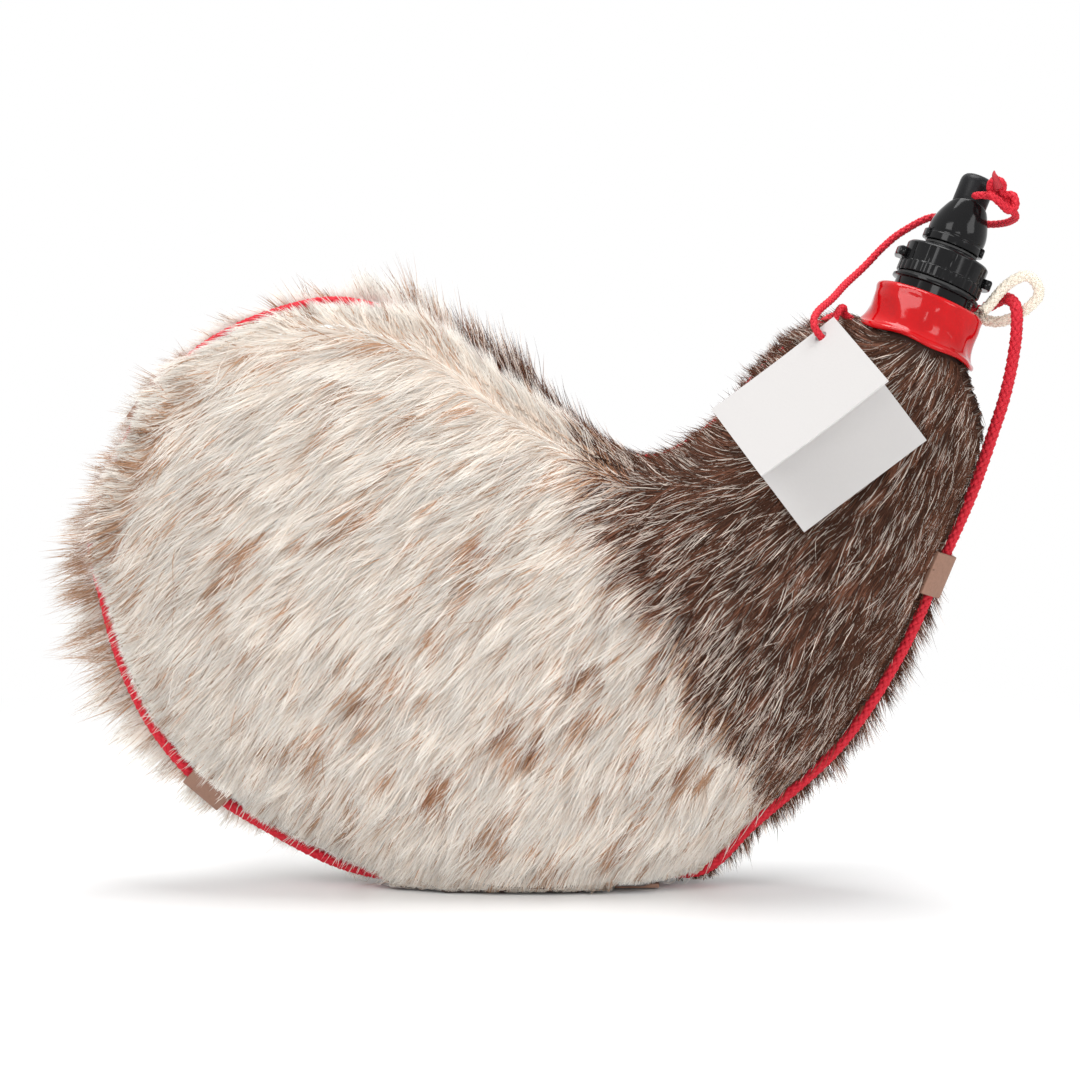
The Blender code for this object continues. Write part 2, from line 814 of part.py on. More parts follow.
# Tabs round the cord
def outer_tree():
    rows, columns = front_outer.shape[0], front_outer.shape[1]
    vertices = [Vector(p) for p in front_outer.reshape(-1, 3)]
    vertices += [Vector(p) for p in back_outer.reshape(-1, 3)]
    faces = grid_faces(rows, columns, 0, False) + grid_faces(rows, columns, rows * columns, False)
    return BVHTree.FromPolygons(vertices, faces)


hide_tree = outer_tree()
cord_lengths = np.concatenate(([0.0], np.cumsum(np.linalg.norm(np.diff(carry_points, axis=0),
                                                               axis=1))))


def cord_at(distance):
    return np.array([np.interp(distance, cord_lengths, carry_points[:, k]) for k in range(3)])


def tab(name, share):
    middle = cord_lengths[-1] * share
    centre = cord_at(middle)
    along = cord_at(middle + tab_length / 2) - cord_at(middle - tab_length / 2)
    along[1] = 0.0
    along = along / np.linalg.norm(along)
    nearest = np.argmin(np.linalg.norm(seam_line - centre, axis=1))
    outward = seam_out[nearest] - along * np.dot(seam_out[nearest], along)
    outward[1] = 0.0
    outward = outward / np.linalg.norm(outward)
    contour = []
    reach_steps = 14
    for k in range(-reach_steps, reach_steps + 1):
        side = tab_reach * k / reach_steps
        heights = []
        for part in (-1, -0.5, 0, 0.5, 1):
            start = centre + along * part * tab_length / 2 + outward * tab_reach * 2
            start = start + np.array((0.0, side, 0.0))
            hit = hide_tree.ray_cast(Vector(start), Vector(-outward), 8 * tab_reach)[0]
            if hit is not None:
                heights.append(float(np.dot(np.array(hit) - centre, outward)))
        if heights:
            contour.append((side, max(heights)))
    points = list(contour)
    for part in (-1, -0.5, 0, 0.5, 1):
        at = cord_at(middle + part * tab_length / 2) - centre
        for k in range(24):
            turn = 2 * math.pi * k / 24
            points.append((float(at[1]) + carry_radius * math.cos(turn),
                           float(np.dot(at, outward)) + carry_radius * math.sin(turn)))
    low = min(contour[0][1], contour[-1][1]) - tab_reach
    points += [(contour[0][0], low), (contour[-1][0], low)]
    hull = [points[i] for i in convex_hull_2d([Vector(p) for p in points])]
    chain = sorted([p for p in hull if p[1] > low + tab_reach / 2], key=lambda p: p[0])
    inner, outer = [], []
    for i, point in enumerate(chain):
        before, after = chain[max(i - 1, 0)], chain[min(i + 1, len(chain) - 1)]
        slope = Vector((after[0] - before[0], after[1] - before[1])).normalized()
        normal = Vector((-slope.y, slope.x))
        if normal.y < 0:
            normal = -normal
        inner.append(Vector(point) + normal * clearance)
        outer.append(Vector(point) + normal * (clearance + tab_wall))
    outline = inner + outer[::-1]
    vertices, faces = [], []
    for end in (-1, 1):
        for point in outline:
            vertices.append(centre + along * end * tab_length / 2 + outward * point.y
                            + np.array((0.0, point.x, 0.0)))
    count, half = len(outline), len(inner)
    for k in range(count):
        nxt = (k + 1) % count
        faces.append((k, nxt, nxt + count, k + count))
    for k in range(half - 1):
        for offset in (0, count):
            faces.append((offset + k, offset + k + 1, offset + count - 2 - k, offset + count - 1 - k))
    add_mesh(name, vertices, faces, tab_look, smooth=False)


for tab_name, tab_share in zip(("tab_upper_left", "tab_lower_left", "tab_bottom", "tab_right"),
                               tab_shares):
    tab(tab_name, tab_share)


# Folded card tag
def leaf(name, down, face, side, look, origin):
    """One leaf as a thin plate with a round hole near its fold."""
    near, far = tag_fold_gap, tag_fold_gap + tag_wall
    build = bmesh.new()
    corners = []
    for out in (near, far):
        for along, across in ((0.0, near), (tag_size, near), (tag_size, tag_size),
                              (0.0, tag_size)):
            place = tag_corner + tag_along * along + down * across + face * side * out
            corners.append(build.verts.new(place))
    build.faces.new(corners[:4])
    build.faces.new(corners[4:])
    for k in range(4):
        nxt = (k + 1) % 4
        build.faces.new((corners[k], corners[nxt], corners[4 + nxt], corners[4 + k]))
    mesh = bpy.data.meshes.new(name)
    bmesh.ops.recalc_face_normals(build, faces=build.faces[:])
    build.to_mesh(mesh)
    build.free()
    mesh.materials.append(look)
    thing = bpy.data.objects.new(name, mesh)
    bpy.context.scene.collection.objects.link(thing)
    middle = tag_corner + tag_along * tag_hole_along + down * tag_hole_in
    reach = face * tag_hole_in
    drill(thing, middle - reach, middle + reach, tag_hole_radius, hole_steps)
    set_origin(thing, origin)
    return thing


fold_middle = tag_corner + tag_along * tag_size / 2
tag_hole = tag_corner + tag_along * tag_hole_along + tag_down * tag_hole_in
leaf("tag_back", tag_down, tag_face, -1, tag_back_look, tag_hole)
open_down = tag_down * math.cos(tag_open) + tag_face * math.sin(tag_open)
open_face = tag_face * math.cos(tag_open) - tag_down * math.sin(tag_open)
leaf("tag_front", open_down, open_face, 1, tag_front_look, fold_middle)

# What rides on the stopper
for rider in ("tether_knot", "tether_loop"):
    thing = bpy.data.objects[rider]
    thing.parent = stopper
    thing.matrix_parent_inverse = Matrix.Translation(-stopper.location)
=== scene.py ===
"""Leather bota bag, visual model: hair-on hide, glossy red collar, black screw spout,
braided cords, leather tabs and a folded card. Metres, +Z up, front towards -Y."""
import math
from contextlib import contextmanager

import bmesh
import bpy
import numpy as np
from bpy.props import (FloatProperty, FloatVectorProperty, IntProperty, PointerProperty)
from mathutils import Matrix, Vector, kdtree
from mathutils.bvhtree import BVHTree


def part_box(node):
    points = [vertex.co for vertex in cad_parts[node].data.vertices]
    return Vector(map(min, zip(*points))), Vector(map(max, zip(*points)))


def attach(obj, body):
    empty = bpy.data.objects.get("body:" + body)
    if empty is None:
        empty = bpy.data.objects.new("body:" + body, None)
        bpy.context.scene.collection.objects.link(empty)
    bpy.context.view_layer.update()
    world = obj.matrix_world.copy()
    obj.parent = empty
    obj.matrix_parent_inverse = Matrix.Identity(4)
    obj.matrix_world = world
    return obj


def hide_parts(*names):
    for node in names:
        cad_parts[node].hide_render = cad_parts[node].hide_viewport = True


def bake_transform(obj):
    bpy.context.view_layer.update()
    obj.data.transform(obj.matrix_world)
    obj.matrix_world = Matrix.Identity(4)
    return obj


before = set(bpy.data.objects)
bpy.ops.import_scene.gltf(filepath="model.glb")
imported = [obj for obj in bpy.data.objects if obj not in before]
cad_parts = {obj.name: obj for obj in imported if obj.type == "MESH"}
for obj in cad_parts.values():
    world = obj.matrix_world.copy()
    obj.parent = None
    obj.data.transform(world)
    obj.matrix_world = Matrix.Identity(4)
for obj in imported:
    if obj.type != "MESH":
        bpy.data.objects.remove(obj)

bl_info = {
    "name": "Leather Bota Bag",
    "version": (1, 0, 0),
    "blender": (4, 5, 0),
    "location": "View3D > Sidebar > Bota Bag",
    "description": "Builds the look of a hair-on leather bota bag over its CAD frame",
    "category": "Object",
}

MM = 0.001

# Neck frame: base point, right, back and up
neck_base = np.array((0.125503, 0.0, 0.187595))
neck_right = np.array((0.925210, 0.0, -0.379456))
neck_back = np.array((-0.052810, 0.990268, -0.128764))
neck_up = np.array((0.375763, 0.139173, 0.916206))

# Routes of the cords' centrelines, in millimetres in the shared frame
carry_route = (
    (104.8, 3.1, 196.9), (101.4, 3.3, 197.9), (90.6, -0.1, 192.2), (75.1, 0.0, 180.0),
    (62.1, 0.0, 164.6), (49.6, 0.0, 154.4), (38.8, 0.0, 149.1), (28.2, 0.0, 149.1),
    (14.7, 0.0, 155.1), (0.7, 0.0, 163.9), (-12.4, 0.0, 172.5), (-31.2, 0.0, 187.1),
    (-50.4, 0.0, 198.0), (-72.3, 0.0, 203.2), (-96.2, 0.0, 198.2), (-118.3, 0.0, 187.1),
    (-137.1, 0.0, 168.5), (-149.2, 0.0, 143.1), (-156.9, 0.0, 121.1), (-153.2, 0.0, 100.6),
    (-148.0, 0.0, 80.4), (-137.2, 0.0, 56.6), (-118.6, 0.0, 34.6), (-96.6, 0.0, 20.2),
    (-66.9, 0.0, 6.0), (-51.1, 0.0, 3.0), (-18.2, 0.0, 3.0), (11.7, 0.0, 3.0),
    (23.8, 0.0, 5.1), (35.0, 0.0, 5.1), (53.9, 0.0, 5.4), (71.6, 0.0, 21.4),
    (102.9, 0.0, 50.6), (123.7, 0.0, 83.5), (137.7, 0.0, 115.8), (147.1, 0.0, 138.0),
    (153.5, 0.0, 157.1), (157.6, -0.1, 170.4), (160.2, -1.6, 184.0), (161.1, -2.8, 193.2),
    (161.1, -0.2, 201.7), (158.6, 7.9, 204.2), (153.0, 14.3, 201.1),
)
tether_upper_route = (
    (157.4, -2.4, 236.2), (159.6, -1.6, 234.2), (160.9, 1.6, 232.6), (160.6, 6.6, 231.4),
    (159.2, 11.6, 230.4), (156.9, 16.0, 229.8), (153.8, 19.8, 229.6), (148.7, 21.8, 230.0),
    (143.2, 22.2, 231.0), (140.6, 21.5, 231.5),
)
tether_middle_route = (
    (140.6, 21.5, 231.5), (138.1, 20.4, 231.9), (135.6, 19.2, 232.2), (132.9, 18.5, 231.8),
    (130.3, 18.1, 230.8), (125.5, 17.5, 228.2), (120.9, 16.2, 225.3), (116.8, 14.4, 221.9),
    (114.9, 13.3, 220.2),
)
tether_lower_route = (
    (114.9, 13.3, 220.2), (111.4, 10.8, 216.7), (108.0, 7.5, 213.7), (105.1, 3.3, 211.5),
    (102.7, -1.5, 209.8), (100.6, -6.4, 208.2), (98.5, -11.2, 206.4), (96.1, -15.9, 204.5),
    (93.6, -20.6, 202.9), (91.2, -25.3, 201.1), (90.2, -27.6, 200.0), (89.5, -29.8, 198.4),
    (89.7, -31.2, 196.2), (91.1, -31.2, 193.8), (92.8, -30.4, 191.7), (93.5, -28.0, 190.6),
    (94.0, -25.3, 190.6), (94.4, -22.6, 191.3), (95.9, -18.4, 194.4), (97.8, -15.0, 198.5),
    (98.9, -13.3, 200.4), (100.1, -11.2, 201.7), (101.2, -8.7, 201.6), (101.6, -6.3, 200.2),
    (102.7, -4.4, 198.5), (105.0, -3.8, 197.2),
)
tether_loop_route = (
    (146.1, 15.3, 237.9), (146.3, 12.6, 238.3), (146.5, 8.4, 238.8), (146.6, 4.3, 239.3),
    (146.7, 2.9, 239.5), (147.0, 1.6, 239.7), (147.6, 0.4, 239.8), (148.8, -0.4, 239.9),
    (150.1, -0.7, 239.8), (152.9, -0.7, 239.6),
)
neck_loop_route = (
    (149.2, -1.7, 200.0), (152.1, 0.7, 202.2), (154.7, 2.3, 205.2), (157.6, 3.1, 208.3),
    (161.1, 3.2, 210.9), (165.1, 3.0, 212.2), (168.5, 3.0, 209.7), (169.4, 3.1, 205.7),
    (166.9, 3.3, 202.2), (163.5, 3.7, 199.5), (159.8, 4.4, 197.4), (155.7, 5.3, 196.3),
    (151.9, 7.0, 196.8), (148.6, 9.2, 198.6),
)
# Middle of the thin cord's knot, and how far its curls lie from there
tether_knot_place = np.array((158.458, 0.289, 238.432)) * MM
tether_knot_shift = np.array((-3.6, -2.4, 0.8)) * MM
# The thin cord's knot as seen from the front: across, up and towards the front, about its middle
tether_knot_route = (
    (0.4, 1.2, -1.4), (-2.2, 1.6, -0.8), (-3.4, 3.4, 0.6), (-2.6, 5.4, 1.4), (-0.4, 5.6, 1.6),
    (0.9, 3.8, 1.2), (0.6, 1.6, 0.2), (2.2, 0.8, -0.9), (4.4, 0.6, -0.4), (5.3, -1.4, 0.4),
    (4.8, -3.8, 0.9), (2.8, -4.4, 1.6), (0.6, -2.6, 2.6), (-1.6, -0.6, 2.9), (-3.4, 0.7, 2.0),
    (-3.2, 1.2, 0.2), (-1.4, 0.4, -1.6), (1.2, -0.6, -2.2), (3.0, -1.8, -1.4), (3.0, -3.4, -0.4),
)
# Middle and radius of the thick cord's end knot, and the radius of the cord in it
carry_knot_place = np.array((148.872, 16.291, 198.457)) * MM
carry_knot_radius = 0.0046
carry_knot_cord = 0.0015
# Radius of the thin cord in its knot
tether_knot_cord = 0.00155
# The thin cord's pointed end, from the middle of its knot, in millimetres
tether_tail_route = ((-0.6, -1.8, 3.0), (-1.4, -2.0, 5.0), (-2.0, -2.2, 6.8), (-2.3, -2.0, 8.0),
                     (-2.2, -1.7, 9.0))

# Card tag: corner, along its fold, down its back leaf and out from it
tag_corner = np.array((0.055703, -0.0262, 0.167795))
tag_along = np.array((0.796530, 0.0, 0.604599))
tag_down = np.array((0.601287, -0.104528, -0.792166))
tag_out = np.array((-0.063198, -0.994522, 0.083260))
tag_front_down = np.array((0.283842, -0.882948, -0.373948))
tag_front_out = np.array((-0.533829, -0.469472, 0.703294))
tag_side = 0.0515
tag_wall = 0.00045
tag_hole_radius = 0.0022
# Middle of the punched hole: along the fold, and down from it
tag_hole = (0.044, 0.005)

# How the hair lies. Each row: x and z in millimetres, then the way it lies in degrees
front_flow = (
    (-100, 175, 216), (-70, 196, 198), (-35, 180, 198), (-10, 160, 204), (20, 143, 204),
    (-140, 140, 222), (-150, 110, 232), (-60, 140, 215), (-100, 120, 220), (-40, 110, 220),
    (0, 120, 215), (-120, 80, 230), (-70, 80, 229), (-20, 80, 231), (20, 90, 226),
    (-90, 40, 236), (-40, 35, 238), (10, 40, 239), (50, 50, 238), (80, 45, 232),
    (45, 140, 204), (60, 120, 218), (60, 90, 230), (90, 80, 238), (90, 110, 234),
    (120, 120, 240), (110, 150, 236), (85, 160, 216), (140, 150, 243), (130, 95, 236),
    (50, 153, 178), (70, 172, 172), (88, 188, 170), (148, 175, 246), (34, 146, 190),
)
back_flow = (
    (-100, 193, 142), (-75, 200, 122), (-50, 196, 112), (-30, 184, 112), (-10, 170, 114),
    (10, 155, 118), (30, 147, 130), (50, 154, 146), (70, 171, 138), (90, 189, 142),
    (-128, 175, 158), (-146, 150, 172), (-154, 125, 186), (-152, 100, 192),
    (-147, 75, 202), (-135, 55, 212), (-110, 30, 232), (-60, 12, 252), (0, 8, 268),
    (50, 12, 282), (90, 38, 288), (120, 75, 296), (135, 105, 306), (148, 145, 300),
    (-60, 120, 215), (0, 100, 228), (60, 90, 240), (110, 130, 240), (-100, 80, 218),
    (-60, 160, 190), (0, 135, 200), (60, 140, 215), (100, 165, 225), (20, 50, 245),
)
# How hair lies where it spills over the seam: x and z, then the way in degrees
rim_flow = (
    (-100, 195, 146), (-80, 202, 122), (-63, 201, 112), (-46, 194, 108), (-28, 181, 110),
    (-11, 168, 112), (7, 157, 116), (24, 148, 128), (41, 147, 148), (58, 157, 152),
    (76, 176, 142), (90, 190, 140), (-115, 186, 152), (-132, 170, 164), (-145, 150, 174),
    (-153, 125, 186), (-153, 103, 196), (-148, 80, 206), (-137, 57, 214), (-119, 35, 228),
    (-97, 20, 240), (-67, 6, 252), (-50, 3, 258), (0, 2, 262), (35, 4, 272), (54, 6, 285),
    (72, 21, 290), (103, 50, 294), (124, 84, 300), (138, 116, 308), (147, 138, 300),
    (157, 170, 280),
)
# How much of the front hair spills over: x and z, then a share
front_spill = (
    (-100, 195, 0.55), (-80, 202, 0.8), (-46, 194, 1.0), (-11, 168, 1.0), (24, 148, 0.95),
    (41, 147, 1.0), (58, 157, 1.0), (76, 176, 1.0), (90, 190, 0.7), (-115, 186, 0.5),
    (-124, 180, 0.7), (-132, 170, 0.7), (-145, 150, 0.8), (-153, 125, 0.8), (-155, 110, 0.5),
    (-150, 85, 0.35), (-137, 57, 0.3), (-97, 20, 0.35), (-67, 6, 0.35), (-45, 3, 0.4),
    (-25, 2, 0.8), (0, 2, 0.9), (18, 3, 0.8), (30, 4, 0.3), (45, 5, 0.2), (72, 21, 0.1),
    (103, 50, 0.1), (138, 116, 0.1), (157, 170, 0.0),
)
# Each row: x and z, then how far hair may reach past the seam there, in millimetres. The front's
# numbers are low where the cord or a tab shows
front_reach = (
    (-68, 203, 6), (-76, 204, 4.6), (-85, 203, 4.2), (-92, 201, 4.4), (-99, 198, 6.2),
    (-107, 194, 3.8), (-118, 188, 4.0), (-126, 181, 6), (-131, 176, 9), (-137, 167, 10),
    (-143, 157, 7), (-148, 146, 8), (-153, 133, 11),
    (-157, 118, 10), (-157, 108, 7), (-155, 99, 3.4), (-151, 88, 2.8), (-143, 68, 2.6),
    (-124, 41, 1.6), (-119, 36, 0.2), (-113, 31, 0.4), (-100, 22, 2.6), (-82, 13, 2.6),
    (-60, 5, 2.0), (-45, 2, 2.2), (-20, 2, 5),
    (8, 2, 5), (18, 2, 2.5), (24, 2, 0.6), (34, 3, 0.6), (44, 4, 1.4), (54, 6, 0.9),
    (70, 18, 0.7), (88, 35, 0.7), (114, 66, 0.7), (131, 100, 0.7), (147, 138, 0.7),
    (157, 170, 0.7), (-50, 198, 13), (-31, 187, 15), (-12, 172, 14), (4, 162, 12), (11, 158, 8),
    (24, 149, 7), (34, 147, 7), (44, 150, 7), (55, 158, 7), (66, 168, 7), (75, 180, 8.5),
    (83, 187, 9), (90, 192, 7),
)
back_reach = (
    (-80, 202, 10), (-63, 201, 17), (-46, 194, 22), (-28, 181, 29), (-11, 168, 29),
    (-2, 162, 28), (4, 159, 20), (10, 156, 9), (17, 152, 6), (24, 148, 5), (33, 146, 5),
    (41, 147, 5), (50, 152, 6), (58, 157, 6), (67, 165, 6.5), (76, 176, 8), (85, 186, 9),
    (-98, 195, 10), (-115, 186, 12), (-128, 174, 10), (-134, 169, 15), (-139, 161, 15),
    (-143, 154, 8), (-147, 145, 10), (-150, 133, 18), (-154, 119, 21), (-152, 99, 24),
    (-148, 85, 27), (-142, 68, 30), (-135, 56, 24), (-124, 43, 20), (-116, 36, 17),
    (-100, 24, 10), (-82, 13, 7), (-50, 3, 4), (0, 2, 3), (40, 4, 4),
    (65, 15, 10), (73, 22, 11), (88, 35, 12.5), (103, 50, 13), (114, 66, 13), (124, 84, 11.5),
    (131, 100, 9), (139, 118, 4), (143, 130, 1), (147, 138, 1), (157, 170, 1),
)
# Each row: x and z, then the hair's length in millimetres
front_length = (
    (-100, 180, 20), (-40, 190, 21), (20, 147, 19), (-60, 100, 15), (20, 60, 14),
    (80, 80, 12.5), (110, 140, 12), (140, 160, 11), (85, 180, 14), (-145, 120, 21),
    (60, 120, 13), (120, 100, 12), (0, 20, 13), (-120, 60, 16), (-40, 145, 15), (20, 105, 14),
    (-100, 130, 16), (45, 90, 13), (38, 148, 21), (56, 157, 21),
    (74, 176, 19),
)
back_length = (
    (-40, 190, 33), (0, 160, 33), (20, 148, 21), (60, 160, 19), (90, 185, 17),
    (-80, 198, 22), (-140, 150, 27), (-150, 90, 35), (-140, 64, 37), (-120, 40, 26),
    (0, 5, 13), (90, 35, 26), (125, 85, 22), (148, 145, 11), (0, 90, 20),
)
# Points of the line where dark hair begins on each panel: z, then x, in millimetres
front_border = ((0, 84), (35, 79), (52, 74), (62, 60), (80, 49), (93, 42), (107, 32),
                (128, 27), (145, 20), (160, 14), (260, 10))
back_border = ((0, 40), (60, 30), (110, 20), (140, 0), (158, -10), (172, -26), (190, -40),
               (260, -45))
# Flecks: x and z of the middle, half length and half width in millimetres, how brown
flecks = (
    (-109, 147, 9, 4, 0.35), (-98, 121, 10, 4, 0.45), (-56, 135, 9, 4, 0.3),
    (-16, 125, 12, 5, 0.6), (-56, 73, 13, 6, 0.4), (15, 81, 9, 5, 0.75),
    (16, 67, 8, 4, 0.65), (-1, 58, 7, 4, 0.75), (-10, 64, 6, 3, 0.55),
    (-35, 42, 9, 4, 0.7), (-15, 29, 8, 4, 0.6), (-16, 21, 7, 3, 0.6), (29, 22, 9, 4, 0.6),
    (3, 13, 7, 3, 0.55), (36, 54, 6, 4, 0.4), (49, 48, 9, 5, 0.5), (-75, 59, 8, 4, 0.25),
    (-120, 112, 8, 4, 0.25), (-88, 95, 7, 3, 0.3), (-30, 95, 8, 4, 0.25),
    (-128, 80, 6, 3, 0.2), (-70, 160, 7, 3, 0.2), (-25, 150, 7, 3, 0.3), (22, 105, 7, 4, 0.3),
)


# Settings
class BotaStageSettings(bpy.types.PropertyGroup):
    distance: FloatProperty(name="Camera distance", description="From the bag to the camera",
                            default=1.2457, unit="LENGTH")
    elevation: FloatProperty(name="Camera height angle", description="Above the horizon",
                             default=math.radians(6), subtype="ANGLE")
    lens: FloatProperty(name="Lens", description="Focal length in millimetres", default=120.0)
    look_x: FloatProperty(name="Aim across", description="Point looked at, along X",
                          default=-0.0024, unit="LENGTH")
    look_z: FloatProperty(name="Aim height", description="Point looked at, along Z",
                          default=0.1211, unit="LENGTH")
    key_power: FloatProperty(name="Key light", description="Power of the main soft light",
                             default=8.0)
    fill_power: FloatProperty(name="Fill light", description="Power of the light on the right",
                              default=5.6)
    front_power: FloatProperty(name="Front light", description="Power of the low front light",
                               default=4.8)
    top_power: FloatProperty(name="Top light", description="Power of the light overhead",
                             default=15.5)
    sky: FloatProperty(name="Sky", description="Strength of the even light", default=0.37)
    floor: FloatVectorProperty(name="Floor colour", description="Colour of the floor", size=3,
                               subtype="COLOR", default=(0.86, 0.86, 0.86))


class BotaFurSettings(bpy.types.PropertyGroup):
    front_count: IntProperty(name="Front hairs", description="Hairs on the front panel",
                             default=98000, min=100)
    back_count: IntProperty(name="Back hairs", description="Hairs on the back panel",
                            default=66000, min=100)
    width: FloatProperty(name="Hair width", description="Width of a lock of hair at its root",
                         default=0.00025, unit="LENGTH")
    cream: FloatVectorProperty(name="Cream", description="Colour of the pale hair", size=3,
                               subtype="COLOR", default=(0.97, 0.970, 0.940))
    root: FloatVectorProperty(name="Root", description="Colour of the pale hair at its root",
                              size=3, subtype="COLOR", default=(0.68, 0.56, 0.46))
    tan: FloatVectorProperty(name="Tan", description="Colour of the flecks", size=3,
                             subtype="COLOR", default=(0.44, 0.275, 0.178))
    brown: FloatVectorProperty(name="Brown", description="Colour of the darker flecks", size=3,
                               subtype="COLOR", default=(0.26, 0.125, 0.07))
    chestnut: FloatVectorProperty(name="Chestnut", description="Reddish hair in the dark",
                                  size=3, subtype="COLOR", default=(0.150, 0.062, 0.038))
    dark: FloatVectorProperty(name="Dark", description="Colour of the dark hair", size=3,
                              subtype="COLOR", default=(0.047, 0.019, 0.0115))
    # The grey hairs are partly real pale hair and partly painted glints: bright strands that stand
    # in for highlights on the dark hair.
    grey: FloatVectorProperty(name="Grey", description="Colour of long pale hair in the dark",
                              size=3, subtype="COLOR", default=(1.0, 0.85, 0.74))


class BotaCordSettings(bpy.types.PropertyGroup):
    carry_radius: FloatProperty(name="Thick cord radius", description="Of the carrying cord",
                                default=0.0023, unit="LENGTH")
    tether_radius: FloatProperty(name="Thin cord radius", description="Of the stopper's cord",
                                 default=0.0014, unit="LENGTH")
    loop_radius: FloatProperty(name="Loop radius", description="Of the cream loop's cord",
                               default=0.0021, unit="LENGTH")
    red: FloatVectorProperty(name="Cord red", description="Colour of the red cords", size=3,
                             subtype="COLOR", default=(0.58, 0.006, 0.022))
    cream: FloatVectorProperty(name="Cord cream", description="Colour of the loop", size=3,
                               subtype="COLOR", default=(0.83, 0.76, 0.64))


class BotaSpoutSettings(bpy.types.PropertyGroup):
    red: FloatVectorProperty(name="Collar red", description="Colour of the collar", size=3,
                             subtype="COLOR", default=(0.49, 0.002, 0.004))
    black: FloatVectorProperty(name="Spout black", description="Colour of the spout", size=3,
                               subtype="COLOR", default=(0.006, 0.006, 0.0065))
    steps: IntProperty(name="Round steps", description="Sides of a turned piece", default=96,
                       min=12)


class BotaTrimSettings(bpy.types.PropertyGroup):
    leather: FloatVectorProperty(name="Tab leather", description="Colour of the tabs", size=3,
                                 subtype="COLOR", default=(0.275, 0.146, 0.098))
    card: FloatVectorProperty(name="Card", description="Colour of the card", size=3,
                              subtype="COLOR", default=(0.53, 0.514, 0.506))


# Meshes
@contextmanager
def edited(thing):
    """The mesh of a thing, open for editing and then written back."""
    build = bmesh.new()
    build.from_mesh(thing.data)
    yield build
    build.to_mesh(thing.data)
    build.free()


def linked(name, data):
    """New object of a mesh, camera or light in the scene."""
    thing = bpy.data.objects.new(name, data)
    bpy.context.scene.collection.objects.link(thing)
    return thing


def copied(node_name, name, look):
    """A CAD solid's mesh as a new object of one material."""
    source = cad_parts[node_name]
    thing = linked(name, source.data.copy())
    thing.matrix_world = source.matrix_world
    thing.data.materials.clear()
    thing.data.materials.append(look)
    return thing


def shade_faces(thing, smooth):
    thing.data.polygons.foreach_set("use_smooth", np.full(len(thing.data.polygons), smooth))


def mesh_from_arrays(name, points, corners, look, smooth=True):
    """Object of one material from point and corner tables, every face with as many sides."""
    mesh = bpy.data.meshes.new(name)
    points = np.asarray(points, dtype=np.float32)
    corners = np.asarray(corners, dtype=np.int32)
    mesh.vertices.add(len(points))
    mesh.vertices.foreach_set("co", points.ravel())
    mesh.loops.add(corners.size)
    mesh.loops.foreach_set("vertex_index", corners.ravel())
    mesh.polygons.add(len(corners))
    sides = corners.shape[1]
    mesh.polygons.foreach_set("loop_start", np.arange(0, corners.size, sides, dtype=np.int32))
    mesh.update(calc_edges=True)
    mesh.validate()
    mesh.materials.append(look)
    thing = linked(name, mesh)
    shade_faces(thing, smooth)
    return thing


def point_value(thing, name, values):
    """Writes a number for each point, which the materials read by name."""
    made = thing.data.attributes.new(name, "FLOAT", "POINT")
    made.data.foreach_set("value", np.asarray(values, dtype=np.float32))


def grid_corners(rows, columns, close_rows=False, close_columns=False):
    """Quads of a grid of points, closed round where asked."""
    i = np.arange(rows if close_rows else rows - 1)
    j = np.arange(columns if close_columns else columns - 1)
    i, j = [a.ravel() for a in np.meshgrid(i, j, indexing="ij")]
    i2, j2 = (i + 1) % rows, (j + 1) % columns
    return np.stack((i * columns + j, i * columns + j2, i2 * columns + j2, i2 * columns + j),
                    axis=1)


def smooth_path(route, spacing, scale=MM):
    """Even points on a smooth curve through a route's points, in metres, and its length."""
    rows = np.asarray(route, dtype=float) * scale
    gaps = np.linalg.norm(np.diff(rows, axis=0), axis=1)
    chords = np.diff(rows, axis=0) / gaps[:, None]
    slopes = np.empty_like(rows)
    slopes[0], slopes[-1] = chords[0], chords[-1]
    before, after = gaps[:-1, None], gaps[1:, None]
    slopes[1:-1] = (chords[:-1] * after + chords[1:] * before) / (before + after)
    t = np.linspace(0, 1, 25)[None, :-1, None]
    gap = gaps[:, None, None]
    a, b = rows[:-1, None], rows[1:, None]
    made = (a * (2 * t**3 - 3 * t**2 + 1) + b * (3 * t**2 - 2 * t**3)
            + slopes[:-1, None] * gap * (t**3 - 2 * t**2 + t)
            + slopes[1:, None] * gap * (t**3 - t**2))
    fine = np.concatenate((made.reshape(-1, 3), rows[-1:]))
    at = np.concatenate(([0.0], np.cumsum(np.linalg.norm(np.diff(fine, axis=0), axis=1))))
    count = max(int(round(at[-1] / spacing)), 4)
    even = np.linspace(0, at[-1], count + 1)
    return np.stack([np.interp(even, at, fine[:, k]) for k in range(3)], axis=1), at[-1]


def path_frames(points):
    """Two side directions at each point, carried along without twist."""
    tangents = np.gradient(points, axis=0)
    tangents /= np.linalg.norm(tangents, axis=1, keepdims=True)
    side = np.cross(tangents[0], (0.0, 1.0, 0.0))
    if np.linalg.norm(side) < 0.1:
        side = np.cross(tangents[0], (1.0, 0.0, 0.0))
    sides = []
    for tangent in tangents:
        side = side - tangent * np.dot(side, tangent)
        side = side / np.linalg.norm(side)
        sides.append(side)
    sides = np.array(sides)
    return sides, np.cross(tangents, sides)


